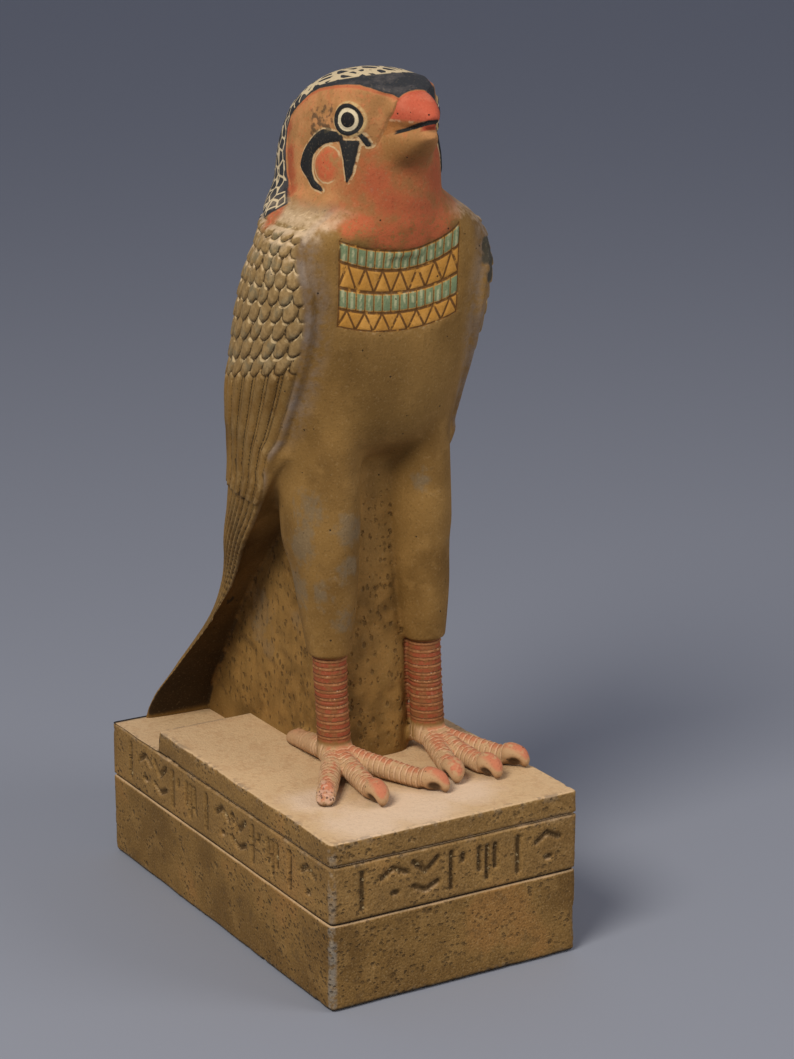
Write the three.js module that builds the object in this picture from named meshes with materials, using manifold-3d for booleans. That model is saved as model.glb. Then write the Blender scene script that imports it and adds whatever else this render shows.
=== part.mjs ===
// Horus falcon figure: a cast stone falcon standing on a stepped plinth, all one piece.
// Millimetres, +Z up, origin at the middle of the plinth's underside. The falcon faces -Y.

import * as THREE from "three";
import { mergeVertices } from "three/addons/utils/BufferGeometryUtils.js";
import Module from "manifold-3d";

const wasm = await Module();
wasm.setup();

// Plinth
const PLINTH_WIDTH = 100;
const PLINTH_DEPTH = 170;
const LOWER_COURSE = 31.5;
const INSCRIBED_COURSE = 20.9;
const UPPER_SLAB = 8.4;
const REAR_LEDGE = 38.8;
const BOTTOM_EDGE_WEAR = 1.8;
const LEDGE_EDGE_WEAR = 0.4;
const SLAB_EDGE_WEAR = 0.8;
const CORNER_WEAR = 1.2;
const GROOVE_WIDTH = 1.6;
const GROOVE_DEPTH = 1.2;
const STROKE_WIDTH = 2;
const STROKE_DEPTH = 1;
const STROKE_PITCH = 12.5;
const STROKE_MARGIN = 3.4;

// Falcon, above the slab
const FALCON_HEIGHT = 247.5;
const FALCON_OFFSET = 6.5;
const LEG_SPREAD = 19.5;
const LEG_PLACE = -20;
const HEM_HEIGHT = 43;
const SHANK_RADIUS = 6.3;
const SHANK_RINGS = 10;
const RING_RELIEF = 0.7;
const TOE_RADIUS = 3.9;
const TOE_RINGS = 3;
const WEB_HALF_WIDTH = 16.5;
const WEB_FRONT = -20;
const TAIL_SETBACK = 1;

// Carving
const WING_RELIEF = 1.4;
const FEATHER_RELIEF = 0.8;
const SCALE_ROWS = 8;
const WING_COLUMNS = 8;
const COLLAR_HALF_WIDTH = 22.5;
const COLLAR_BEADS = 12;
const LINE_WIDTH = 0.9;
const LINE_DEPTH = 0.6;

// Places that follow from the sizes above
const LEDGE_TOP = LOWER_COURSE + INSCRIBED_COURSE;
const SLAB_TOP = LEDGE_TOP + UPPER_SLAB;
const TAIL_END = PLINTH_DEPTH / 2 - TAIL_SETBACK;
const SINK = 1.5;

// The falcon's own shape is written for a height of 247.5, above the slab and about its middle plane, and
// takes the size that FALCON_HEIGHT gives it. A named length is brought into the shape's units by own.
const SIZE = FALCON_HEIGHT / 247.5;
const own = (length) => length / SIZE;
const FOOT_LEVEL = own(-UPPER_SLAB - SINK);

// Level sections, each with its height, place of the widest point, half width, front, back, and how square
// the front and back are. Below the belly the front runs back as a ramp, down to the tail's foot on the
// ledge.
const TRUNK = [
  { z: 208, middle: -8, half: 24, front: -42, back: 31, squareFront: 2.2, squareBack: 2 },
  { z: 202, middle: -10, half: 30.5, front: -42, back: 30, squareFront: 2.3, squareBack: 1.8 },
  { z: 196, middle: -14.5, half: 37, front: -41, back: 30, squareFront: 2.9, squareBack: 1.65 },
  { z: 189, middle: -14.5, half: 39.3, front: -39, back: 31, squareFront: 3.8, squareBack: 1.55 },
  { z: 178, middle: -12, half: 39.8, front: -38, back: 33.5, squareFront: 4.6, squareBack: 1.7 },
  { z: 164, middle: -7, half: 39.5, front: -37.5, back: 37.5, squareFront: 4, squareBack: 1.9 },
  { z: 150, middle: -2, half: 38.8, front: -36.5, back: 39.5, squareFront: 3.2, squareBack: 2.05 },
  { z: 130, middle: 3, half: 37.3, front: -35.5, back: 44.5, squareFront: 2.5, squareBack: 2.3 },
  { z: 121, middle: 2, half: 36.5, front: -32, back: 46, squareFront: 2.4, squareBack: 2.4 },
  { z: 114, middle: -9, half: 36, front: -22, back: 47, squareFront: 2.4, squareBack: 2.45 },
  { z: 106, middle: -8, half: 35.8, front: -8, back: 48, squareFront: 2.4, squareBack: 2.5 },
  { z: 92, middle: 1, half: 35.3, front: 5, back: 49.2, squareFront: 2.4, squareBack: 2.5 },
  { z: 77, middle: 14, half: 33.8, front: 20, back: 50.8, squareFront: 2.4, squareBack: 2.5 },
  { z: 57, middle: 30, half: 31.3, front: 39, back: 53, squareFront: 2.4, squareBack: 2.5 },
  { z: 42, middle: 43, half: 31.6, front: 51, back: 59, squareFront: 2.4, squareBack: 2.4 },
  { z: 17, middle: 65, half: 36.8, front: 67, back: 73.5, squareFront: 2.4, squareBack: 2.4 },
  { z: 0, middle: 77.5, half: 42.4, front: 77, back: 81.5, squareFront: 2.4, squareBack: 2.4 },
  { z: own(-UPPER_SLAB), middle: 82.5, half: 43, front: 79.5, back: 84, squareFront: 2.4, squareBack: 2.4 },
];
const HEAD = [
  { z: 186, middle: -8, half: 26, front: -40, back: 30, squareFront: 2.2, squareBack: 2 },
  { z: 201, middle: -8, half: 25, front: -44, back: 32, squareFront: 2.2, squareBack: 2 },
  { z: 209, middle: -7, half: 24, front: -44, back: 31, squareFront: 2.2, squareBack: 2 },
  { z: 218, middle: -7.5, half: 23.6, front: -43, back: 28.5, squareFront: 2.2, squareBack: 2 },
  { z: 226, middle: -9, half: 23, front: -41.5, back: 24, squareFront: 2.1, squareBack: 2 },
  { z: 233, middle: -11, half: 22, front: -41.5, back: 18, squareFront: 2.1, squareBack: 2 },
  { z: 239, middle: -14, half: 19.8, front: -41.5, back: 8.5, squareFront: 2.4, squareBack: 2 },
  { z: 243, middle: -17, half: 16, front: -39, back: 2, squareFront: 2.5, squareBack: 2 },
  { z: 246, middle: -20, half: 10.5, front: -34, back: -6, squareFront: 2, squareBack: 2 },
  { z: 247.5, middle: -22, half: 3.5, front: -28, back: -16, squareFront: 2, squareBack: 2 },
];

// Collar rows, from the top line down: height at the middle and at the collar's sides
const COLLAR_LINES = [
  { middle: 188.5, side: 193.5 }, { middle: 181.3, side: 186.6 }, { middle: 173.7, side: 177.6 },
  { middle: 166.7, side: 170.3 }, { middle: 160.3, side: 164 },
];

// Markings on the side of the head, as places along and heights: round eye, the dark wedge below it, the
// crescent behind the cheek, and the lower edge of the dark cap
const EYE = { y: -31, z: 232.3, radius: 5.1 };
const WEDGE = [[-28.6, 225], [-31.8, 209.5], [-34.2, 225]];
const CRESCENT_OUTER = [[-26.5, 226], [-18, 227.6], [-10.4, 219.8], [-12, 211.5], [-18, 208.6]];
const CRESCENT_INNER = [[-26, 224], [-19.6, 223.6], [-16.6, 216], [-19.6, 209.6]];
const CAP_EDGE = [[0.3, 210.4], [3.2, 222], [0.6, 231.3], [-9.5, 238.6]];

// Heights between which the wings carry scales, at their front edge
const SCALES = { from: 151, to: 194.3 };

// Wing front edge, as height and place on the side of the trunk
const WING_EDGE = [
  { z: 194, y: -33 }, { z: 176, y: -35 }, { z: 166, y: -34 }, { z: 147, y: -28 }, { z: 134, y: -22 },
  { z: 120, y: -15 }, { z: 107, y: -8 }, { z: 92, y: 1 }, { z: 77, y: 14 }, { z: 57, y: 30 },
];

// Grid lines across the front of the trunk, as shares of the way from the middle to the wing's edge
const CHEST_SHARES = [-1, -0.92, -0.74, -0.4, 0, 0.4, 0.74, 0.92, 1];

const lerp = THREE.MathUtils.lerp;
const smooth = THREE.MathUtils.smoothstep;

// Smooth curve through rows sorted by height, for one of their values
function valueAt(rows, key, z) {
  const order = rows[0].z < rows[rows.length - 1].z ? rows : [...rows].reverse();
  const last = order.length - 1;
  if (z <= order[0].z) return order[0][key];
  if (z >= order[last].z) return order[last][key];
  let i = 0;
  while (order[i + 1].z < z) i += 1;
  const step = order[i + 1].z - order[i].z;
  const slope = (j) => {
    if (j === 0 || j === last) return 0;
    const before = (order[j][key] - order[j - 1][key]) / (order[j].z - order[j - 1].z);
    const after = (order[j + 1][key] - order[j][key]) / (order[j + 1].z - order[j].z);
    return before * after <= 0 ? 0 : 2 * before * after / (before + after);
  };
  const t = (z - order[i].z) / step;
  const a = order[i][key];
  const b = order[i + 1][key];
  const bulge = (1 - t) * (slope(i) * step - (b - a)) - t * (slope(i + 1) * step - (b - a));
  return lerp(a, b, t) + t * (1 - t) * bulge;
}

function sectionAt(rows, z) {
  const section = {};
  for (const key of Object.keys(rows[0])) section[key] = key === "z" ? z : valueAt(rows, key, z);
  return section;
}

// Point of a level section: angle 0 is the +X side, a quarter turn on is the back
function sectionPoint(section, angle) {
  const c = Math.cos(angle);
  const s = Math.sin(angle);
  const square = s < 0 ? section.squareFront : section.squareBack;
  const end = s < 0 ? section.front : section.back;
  const x = section.half * Math.sign(c) * Math.abs(c) ** (2 / square);
  const y = section.middle + (end - section.middle) * Math.abs(s) ** (2 / square);
  return new THREE.Vector3(x, y, section.z);
}

// Points at equal steps along part of a section, from one angle to another
function sectionArc(section, from, to, shares) {
  const samples = 80;
  const points = [];
  const lengths = [0];
  for (let i = 0; i <= samples; i += 1) {
    points.push(sectionPoint(section, lerp(from, to, i / samples)));
    if (i > 0) lengths.push(lengths[i - 1] + points[i].distanceTo(points[i - 1]));
  }
  return shares.map((share) => {
    const wanted = share * lengths[samples];
    let i = 0;
    while (i < samples - 1 && lengths[i + 1] < wanted) i += 1;
    const t = (wanted - lengths[i]) / (lengths[i + 1] - lengths[i] || 1);
    return points[i].clone().lerp(points[i + 1], t);
  });
}

function toSolid(geometry) {
  geometry.deleteAttribute("normal");
  geometry.deleteAttribute("uv");
  const merged = mergeVertices(geometry, 1e-4);
  const mesh = new wasm.Mesh({
    numProp: 3,
    vertProperties: new Float32Array(merged.attributes.position.array),
    triVerts: new Uint32Array(merged.index.array),
  });
  return new wasm.Manifold(mesh);
}

// Closed skin through rings that all have the same number of points, counted the same way round.
// Rings that turn anticlockwise seen from the end they climb to give faces that point out.
function loft(rings) {
  const count = rings[0].length;
  const points = rings.flat();
  const index = [];
  for (let r = 0; r < rings.length - 1; r += 1) {
    for (let i = 0; i < count; i += 1) {
      const j = (i + 1) % count;
      const a = r * count + i;
      const b = r * count + j;
      index.push(a, b, b + count, a, b + count, a + count);
    }
  }
  for (const end of [0, rings.length - 1]) {
    const centre = new THREE.Vector3();
    rings[end].forEach((p) => centre.addScaledVector(p, 1 / count));
    points.push(centre);
    for (let i = 0; i < count; i += 1) {
      const a = end * count + i;
      const b = end * count + (i + 1) % count;
      index.push(...(end === 0 ? [b, a, points.length - 1] : [a, b, points.length - 1]));
    }
  }
  const geometry = new THREE.BufferGeometry().setFromPoints(points);
  geometry.setIndex(index);
  return toSolid(geometry);
}

function joinAll(solids) {
  return solids.reduce((whole, solid) => whole.add(solid));
}

// From the falcon's own shape to its size and place on the plinth. Below the wing tips the tail is drawn
// back or forward so that it ends at the plinth's rear edge.
function place(point) {
  const tip = 57;
  const p = point.clone().multiplyScalar(SIZE);
  const drawn = 1 - smooth(point.z, 0, tip);
  p.y += drawn * (TAIL_END - TRUNK[TRUNK.length - 1].back * SIZE);
  p.x += FALCON_OFFSET;
  p.z += SLAB_TOP;
  return p;
}

// Wing edge's angle on a trunk section, as a turn forward from the side
function edgeAngle(section) {
  const y = valueAt(WING_EDGE, "y", section.z);
  const share = (section.middle - y) / (section.middle - section.front);
  if (section.z < 107 || share <= 0) return 0;
  return -Math.asin(Math.min(share, 0.985) ** (section.squareFront / 2));
}

// Rings of the trunk, from the tail's foot up. Each has a height at the wing's front edge, a drop towards
// the back, a relief on the feathers' middles and between them, and a wave that makes their tips. Two tiers
// of long feathers come first, then the rows of scales, then the plain neck.
function trunkRings() {
  const rings = [];
  const add = (z, drop, middle, between, waved = 0) => rings.push({ z, drop, middle, between, waved });
  const low = own(FEATHER_RELIEF / 2);
  const step = 0.5;
  for (const z of [FOOT_LEVEL, 2, 17]) add(z, 0, low, 0);
  for (const z of [38, 57, 76]) add(z, 0, low * 2, -low);
  add(95, 0, low * 2, -low, 1.5);
  add(95 + step, 0, low * 3, 0, 1.5);
  add(106, 3, low * 3, 0);
  add(117, 8, low * 3, 0);
  add(130, 15, low * 2.5, 0);
  const rowFoot = (row) => {
    const share = row / SCALE_ROWS;
    return lerp(SCALES.from, SCALES.to, share * (1.22 - 0.22 * share));
  };
  for (let row = 0; row < SCALE_ROWS; row += 1) {
    const z = rowFoot(row);
    const wave = (row % 2 === 0 ? 1 : -1) * (rowFoot(row + 1) - z) * 0.22;
    const drop = lerp(22, -1, row / SCALE_ROWS);
    add(z, drop, low * 1.2, low * 1.2, wave);
    add(z + step, drop, low * 3, low * 3, wave);
  }
  add(SCALES.to, -1, low * 1.5, low * 1.5);
  for (const z of [200, 208]) add(z, 0, 0, 0);
  return rings;
}

// Trunk: chest, belly and the ramp under the tail in front, wings, back and tail feathers behind
function trunk() {
  const steps = WING_COLUMNS * 2;
  const growth = 0.35;
  const wing = Array.from({ length: steps + 1 }, (_, i) => {
    const t = i / steps;
    return t * (1 - growth) + growth * t * t;
  });
  return loft(trunkRings().map((ring) => {
    const fade = smooth(ring.z, 40, 75) * (1 - smooth(ring.z, 176, 196));
    const side = wing.map((share, i) => {
      const wave = i % 2 === 0 ? -ring.waved : ring.waved;
      const section = sectionAt(TRUNK, ring.z - ring.drop * share + wave);
      const shares = [Math.max(share - 0.01, 0), share, Math.min(share + 0.01, 1)];
      const [before, point, after] = sectionArc(section, edgeAngle(section), Math.PI / 2, shares);
      const out = new THREE.Vector3(after.y - before.y, before.x - after.x, 0).normalize();
      const relief = (i % 2 === 0 ? ring.between : ring.middle) + own(WING_RELIEF) * fade;
      return point.addScaledVector(out, i === steps ? relief * 0.3 : relief);
    });
    const section = sectionAt(TRUNK, ring.z);
    const edge = sectionPoint(section, edgeAngle(section)).x;
    const front = CHEST_SHARES.map((share) => frontPoint(section, share * edge));
    const mirror = side.slice(0, -1).reverse().map((p) => new THREE.Vector3(-p.x, p.y, p.z));
    return [...front, ...side, ...mirror].map(place);
  }));
}

// Point of a section's front, at a distance from the middle plane
function frontPoint(section, x) {
  const away = Math.min(Math.abs(x) / section.half, 1);
  const reach = (1 - away ** section.squareFront) ** (1 / section.squareFront);
  return new THREE.Vector3(x, section.middle + (section.front - section.middle) * reach, section.z);
}

function head() {
  const count = 20;
  const heights = [186, 207, 219, 224, 229, 234, 238, 241.5, 244, 246, 247.5];
  const rings = heights.map((z) => {
    const section = sectionAt(HEAD, z);
    return Array.from({ length: count }, (_, i) => place(sectionPoint(section, i * 2 * Math.PI / count)));
  });
  return loft(rings);
}

// Round or oval limb through stations, each with its middle, half width, half depth and direction. The
// reference is a direction that the limb never runs in, and the depth is measured towards it. A square of 2
// is an oval, and more makes its sides fuller.
function limb(stations, count, reference, square) {
  const rings = stations.map(({ at, wide, deep, along }) => {
    const right = reference.clone().cross(along).normalize();
    const up = along.clone().normalize().cross(right);
    return Array.from({ length: count }, (_, i) => {
      const angle = i * 2 * Math.PI / count;
      const full = (value) => Math.sign(value) * Math.abs(value) ** (2 / square);
      const across = at.clone().addScaledVector(right, wide * full(Math.cos(angle)));
      return across.addScaledVector(up, deep * full(Math.sin(angle)));
    });
  });
  return loft(rings.map((ring) => ring.map(place)));
}

// Limb whose stations are rows of numbers: x, y, z, half width and half depth
function limbThrough(rows, count, reference, square = 2) {
  const points = rows.map(([x, y, z]) => new THREE.Vector3(x, y, z));
  const stations = rows.map(([, , , wide, deep], i) => ({
    at: points[i],
    wide,
    deep,
    along: points[Math.min(i + 1, rows.length - 1)].clone().sub(points[Math.max(i - 1, 0)]),
  }));
  return limb(stations, count, reference, square);
}

const UPWARD = new THREE.Vector3(0, 0, 1);
const BACKWARD = new THREE.Vector3(0, 1, 0);

// Thigh under its plumage, from the hem up into the belly
function thigh(side) {
  const x = side * own(LEG_SPREAD);
  const y = own(LEG_PLACE);
  const hem = own(HEM_HEIGHT);
  const radius = own(SHANK_RADIUS);
  return limbThrough([
    [x, y, hem, radius + 1.1, radius + 1.1],
    [x, y, hem + 1, radius + 1.6, radius + 1.6],
    [x * 0.975, y + 1.4, hem + 18, radius + 3.1, radius + 4.7],
    [x * 0.95, y + 4, hem + 38, radius + 5.3, radius + 8.1],
    [x * 0.95, y + 9, hem + 65, radius + 6.1, radius + 14.1],
    [x * 0.95, y + 12, hem + 75, radius + 6.3, radius + 17.7],
    [x * 0.88, y + 14, hem + 84, radius + 7.3, radius + 20.1],
  ], 12, BACKWARD);
}

// Ringed shank from the foot up into the thigh
function shank(side) {
  const x = side * own(LEG_SPREAD);
  const y = own(LEG_PLACE);
  const hem = own(HEM_HEIGHT);
  const wide = own(SHANK_RADIUS);
  const narrow = own(SHANK_RADIUS - RING_RELIEF);
  const foot = 9;
  const pitch = (hem - foot) / SHANK_RINGS;
  const rows = [[x, y - 1, foot - 4, wide + 1, wide + 1]];
  for (let ring = 0; ring < SHANK_RINGS; ring += 1) {
    const z = foot + ring * pitch;
    rows.push([x, y, z + pitch * 0.12, narrow, narrow]);
    rows.push([x, y, z + pitch * 0.55, wide, wide]);
  }
  rows.push([x, y, hem + 2, narrow, narrow]);
  return limbThrough(rows, 7, BACKWARD);
}

// Ringed toe from the foot's middle out to its claw, which arches down to the slab. A broken toe ends
// bluntly, without its claw.
function toe(side, reach, aside, broken) {
  const root = new THREE.Vector3(side * own(LEG_SPREAD), own(LEG_PLACE), 0);
  const tip = new THREE.Vector3(aside, reach, 0);
  const radius = own(TOE_RADIUS);
  const rows = [];
  const add = (share, z, wide, deep) => {
    const p = root.clone().lerp(tip, share);
    rows.push([p.x, p.y, z, wide, deep]);
  };
  add(0, 7, 5, 5);
  for (let ring = 0; ring < TOE_RINGS; ring += 1) {
    const share = 0.16 + 0.58 * ring / (TOE_RINGS - 1);
    const z = lerp(6.2, 3.4, smooth(share, 0.1, 0.7));
    const size = radius * lerp(1.08, 0.92, ring / (TOE_RINGS - 1));
    add(share, z, size * 0.86, size * 0.86);
    add(share + 0.055, z, size, size);
  }
  if (broken) {
    add(0.88, 2.6, radius * 0.95, radius * 0.8);
    add(1, 1.6, radius * 0.7, radius * 0.55);
  } else {
    add(0.82, 4.4, radius * 1.06, radius * 1.06);
    add(0.92, 4, radius * 0.98, radius * 0.98);
    add(0.98, 2.4, radius * 0.6, radius * 0.6);
    add(1, 0.9, radius * 0.3, radius * 0.4);
  }
  return limbThrough(rows, 6, UPWARD);
}

function foot(side) {
  const toes = side < 0
    ? [[-54, -41, true], [-64.5, -23.8, false], [-64, 2.6, false], [14, -18.5, true]]
    : [[-57.5, 40, false], [-62.5, 24.8, false], [-59, 9.6, false], [14, 18.5, true]];
  return joinAll(toes.map(([reach, aside, broken]) => toe(side, reach, aside, broken)));
}

// Web that joins the legs' back to the tail, with a round front between the legs. Its rings lie at the
// trunk's heights, so its back stays within the trunk.
function web() {
  const nose = 9;
  const depth = 17;
  const half = own(WEB_HALF_WIDTH);
  const rings = [FOOT_LEVEL, 2, 17, 38, 57, 95, 112].map((z) => {
    const front = own(WEB_FRONT) + 2 * z / 112;
    const back = valueAt(TRUNK, "front", z) + 2;
    const ring = Array.from({ length: nose + 1 }, (_, i) => {
      const angle = Math.PI + Math.PI * i / nose;
      return new THREE.Vector3(half * Math.cos(angle), front + depth + depth * Math.sin(angle), z);
    });
    const rear = Math.max(back, front + depth + 1);
    return [...ring, new THREE.Vector3(half, rear, z), new THREE.Vector3(-half, rear, z)];
  });
  return loft(rings.map((ring) => ring.map(place)));
}

function beak() {
  const upper = limbThrough([
    [0, -28, 235.5, 10, 8.5],
    [0, -38, 236, 9.4, 7.8],
    [0, -44.5, 236, 8.4, 7.2],
    [0, -50, 235.6, 6.7, 5.8],
    [0, -54, 234.8, 4.7, 4.1],
    [0, -57.2, 233.6, 2, 2.2],
  ], 12, UPWARD, 2.7);
  const lower = limbThrough([
    [0, -28, 221, 12, 10],
    [0, -40, 223.5, 9.4, 8],
    [0, -48, 226.4, 7, 5.6],
    [0, -55.4, 229.8, 2.4, 2.4],
  ], 10, UPWARD, 2.7);
  return upper.add(lower);
}

// Brow that overhangs the eye on one side and runs to the beak
function brow(side) {
  return limbThrough([
    [side * 12, 0, 238.4, 3, 2.4],
    [side * 15.4, -14, 241.2, 4, 2],
    [side * 14.6, -25, 242.4, 4.2, 1.9],
    [side * 11.4, -33.5, 242.4, 4.2, 1.8],
    [side * 5.6, -38.5, 242, 3.8, 1.7],
    [0, -38.5, 241.6, 3, 1.6],
  ], 6, UPWARD);
}

// Block with worn vertical corners and worn top and bottom edges
function block(low, high, front, back, wearLow, wearHigh) {
  const half = PLINTH_WIDTH / 2;
  const ring = (z, inset) => {
    const x = half - inset;
    const near = front + inset;
    const far = back - inset;
    const w = CORNER_WEAR;
    return [[-x, near + w], [-x + w, near], [x - w, near], [x, near + w], [x, far - w], [x - w, far],
      [-x + w, far], [-x, far - w]].map(([px, py]) => new THREE.Vector3(px, py, z));
  };
  return loft([ring(low, wearLow), ring(low + wearLow, 0), ring(high - wearHigh, 0), ring(high, wearHigh)]);
}

// Groove around a block, as the frame that is cut away
function grooveFrame(z) {
  const half = PLINTH_WIDTH / 2;
  const end = PLINTH_DEPTH / 2;
  const over = GROOVE_DEPTH * 2;
  const ring = (inset, height) => [[-1, -1], [1, -1], [1, 1], [-1, 1]].map(
    ([sx, sy]) => new THREE.Vector3(sx * (half - inset), sy * (end - inset), height));
  const outer = loft([ring(-over, z - GROOVE_WIDTH / 2), ring(-over, z + GROOVE_WIDTH / 2)]);
  const inner = loft([ring(0, z - GROOVE_WIDTH / 2), ring(GROOVE_DEPTH, z), ring(0, z + GROOVE_WIDTH / 2)]);
  return outer.subtract(inner);
}

function plinth() {
  const front = -PLINTH_DEPTH / 2;
  const back = PLINTH_DEPTH / 2;
  const lower = block(0, LEDGE_TOP, front, back, BOTTOM_EDGE_WEAR, LEDGE_EDGE_WEAR);
  const slab = block(LEDGE_TOP - SINK, SLAB_TOP, front, back - REAR_LEDGE, 0, SLAB_EDGE_WEAR);
  return lower.add(slab).subtract(grooveFrame(LOWER_COURSE)).subtract(grooveFrame(LEDGE_TOP));
}

// Groove of V section along a line on the surface, as the wedge that is cut away
function groove(points, outs, width, depth) {
  const last = points.length - 1;
  return loft(points.map((point, i) => {
    const along = points[Math.min(i + 1, last)].clone().sub(points[Math.max(i - 1, 0)]).normalize();
    const across = along.clone().cross(outs[i]).normalize();
    const top = point.clone().addScaledVector(outs[i], depth * 1.5);
    return [
      point.clone().addScaledVector(outs[i], -depth),
      top.clone().addScaledVector(across, -width * 1.25),
      top.addScaledVector(across, width * 1.25),
    ];
  }));
}

// Direction out of a curved surface. The surface gives a placed point for two coordinates, and the
// handedness is 1 where the first coordinate, the second and the way out make a right-handed set.
function outOf(surface, handedness, a, b) {
  const step = 0.4;
  const first = surface(a + step, b).sub(surface(a - step, b));
  const second = surface(a, b + step).sub(surface(a, b - step));
  return first.cross(second).normalize().multiplyScalar(handedness);
}

// Groove along a line drawn on a curved surface
function grooveOn(surface, handedness, line) {
  const points = line.map(([a, b]) => surface(a, b));
  const outs = line.map(([a, b]) => outOf(surface, handedness, a, b));
  return groove(points, outs, LINE_WIDTH, LINE_DEPTH);
}

function chest(x, z) {
  return place(frontPoint(sectionAt(TRUNK, z), x));
}

// Side of the head, for a place along it and a height
function headSide(side) {
  return (y, z) => {
    const section = sectionAt(HEAD, z);
    const square = y < section.middle ? section.squareFront : section.squareBack;
    const end = y < section.middle ? section.front : section.back;
    const away = Math.min((y - section.middle) / (end - section.middle), 0.98);
    const x = side * section.half * (1 - away ** square) ** (1 / square);
    return place(new THREE.Vector3(x, y, z));
  };
}

// Collar of two rows of upright beads and two of triangles, as the solid that is cut out of the chest. It
// dips by LINE_DEPTH along every line and by almost nothing on the beads and triangles between the lines.
function collar() {
  const cells = COLLAR_BEADS * 2;
  const faint = LINE_DEPTH * 0.2;
  const above = LINE_DEPTH * 2.5;
  const levels = [];
  COLLAR_LINES.slice(0, -1).forEach((_, row) => {
    levels.push([row, () => true]);
    if (row % 2 === 0) {
      levels.push([row + 0.12, (i) => i % 2 === 0], [row + 0.88, (i) => i % 2 === 0]);
    } else {
      levels.push([row + 0.1, (i) => i % 4 === 2]);
      levels.push([row + 0.5, (i) => i % 2 === 1]);
      levels.push([row + 0.9, (i) => i % 4 === 0]);
    }
  });
  levels.push([COLLAR_LINES.length - 1, () => true]);
  levels.reverse();
  const height = (level, share) => {
    const line = Math.min(Math.floor(level), COLLAR_LINES.length - 2);
    const at = (i) => lerp(COLLAR_LINES[i].middle, COLLAR_LINES[i].side, share * share);
    return lerp(at(line), at(line + 1), level - line);
  };
  const rings = levels.map(([level, isLine]) => {
    const dip = (i, depth) => {
      const share = 2 * i / cells - 1;
      const [x, z] = [share * own(COLLAR_HALF_WIDTH), height(level, share)];
      return chest(x, z).addScaledVector(outOf(chest, 1, x, z), -depth);
    };
    const ring = Array.from({ length: cells + 1 }, (_, i) => (
      dip(i, i === 0 || i === cells || isLine(i) ? LINE_DEPTH : faint)));
    return [dip(cells, -above), dip(cells / 2, -above), dip(0, -above), ...ring].reverse();
  });
  return loft(rings);
}

// Lines cut around the wedge, the crescent and the cap's lower edge, on one side of the head
function faceLines(side) {
  const surface = headSide(side);
  const cut = (line) => grooveOn(surface, side, line);
  return joinAll([WEDGE, CRESCENT_OUTER, CRESCENT_INNER, CAP_EDGE].map(cut));
}

// Eye as a low lens within a rim, a little proud of the head
function eye(side) {
  const surface = headSide(side);
  const centre = surface(EYE.y, EYE.z);
  const out = outOf(surface, side, EYE.y, EYE.z);
  const right = BACKWARD.clone().cross(out).normalize();
  const up = out.clone().cross(right);
  const count = 10;
  const radius = EYE.radius * SIZE;
  const profile = [[-2, 1], [0.5, 1], [0.9, 0.88], [0.3, 0.78], [0.9, 0.6], [1.3, 0.2]];
  return loft(profile.map(([rise, share]) => Array.from({ length: count }, (_, i) => {
    const angle = i * 2 * Math.PI / count;
    return centre.clone().addScaledVector(out, rise * SIZE)
      .addScaledVector(right, radius * share * Math.cos(angle))
      .addScaledVector(up, radius * share * Math.sin(angle));
  })));
}

// Worn marks cut into the inscribed course: upright strokes, a bowl over a boat, ripples and pits in a
// repeating order. Each is drawn in a cell, with x from -1 to 1 across it and z from 0 to 1 up it.
const MARKS = [
  [[[0, 0.05], [0, 0.95]]],
  [[[-0.9, 0.92], [0, 0.62], [0.9, 0.92]], [[-0.9, 0.3], [0, 0.14], [0.9, 0.3]]],
  [[[-0.6, 0.35], [-0.6, 0.9]], [[0, 0.1], [0, 0.9]], [[0.6, 0.35], [0.6, 0.9]]],
  [[[-0.9, 0.7], [-0.1, 0.9], [0.9, 0.72]], [[-0.1, 0.25], [0.2, 0.25]]],
  [[[-0.4, 0.05], [-0.4, 0.95]], [[0.5, 0.7], [0.5, 0.82]]],
];

function markRow(length, toFace, out, marksUsed = MARKS) {
  const low = LOWER_COURSE + STROKE_MARGIN;
  const tall = INSCRIBED_COURSE - 2 * STROKE_MARGIN;
  const count = Math.floor((length - STROKE_PITCH) / STROKE_PITCH);
  const marks = [];
  for (let cell = 0; cell < count; cell += 1) {
    const middle = (cell - (count - 1) / 2) * STROKE_PITCH;
    for (const line of marksUsed[cell * 3 % marksUsed.length]) {
      const points = line.map(([x, z]) => toFace(middle + x * STROKE_PITCH * 0.42, low + z * tall));
      marks.push(groove(points, points.map(() => out), STROKE_WIDTH, STROKE_DEPTH));
    }
  }
  return marks;
}

// Front and both sides carry the marks, upright strokes alone on the +X side, and the back is plain
function inscription() {
  const half = PLINTH_WIDTH / 2;
  const end = PLINTH_DEPTH / 2;
  return joinAll([
    ...markRow(PLINTH_WIDTH, (t, z) => new THREE.Vector3(t, -end, z), new THREE.Vector3(0, -1, 0)),
    ...markRow(PLINTH_DEPTH, (t, z) => new THREE.Vector3(-half, -t, z), new THREE.Vector3(-1, 0, 0)),
    ...markRow(PLINTH_DEPTH, (t, z) => new THREE.Vector3(half, t, z), new THREE.Vector3(1, 0, 0), [MARKS[0]]),
  ]);
}

const pairs = [-1, 1].flatMap((side) => [brow(side), thigh(side), shank(side), foot(side), eye(side)]);
const falcon = joinAll([trunk(), head(), beak(), web(), ...pairs]);
const carving = joinAll([collar(), faceLines(-1), faceLines(1), inscription()]);
const solid = plinth().add(falcon).subtract(carving);

function toMesh(manifold, name, material) {
  const { vertProperties, triVerts } = manifold.getMesh();
  const geometry = new THREE.BufferGeometry();
  geometry.setAttribute("position", new THREE.BufferAttribute(new Float32Array(vertProperties), 3));
  geometry.setIndex(new THREE.BufferAttribute(new Uint32Array(triVerts), 1));
  geometry.computeVertexNormals();
  const mesh = new THREE.Mesh(geometry, material);
  mesh.name = name;
  return mesh;
}

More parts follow.
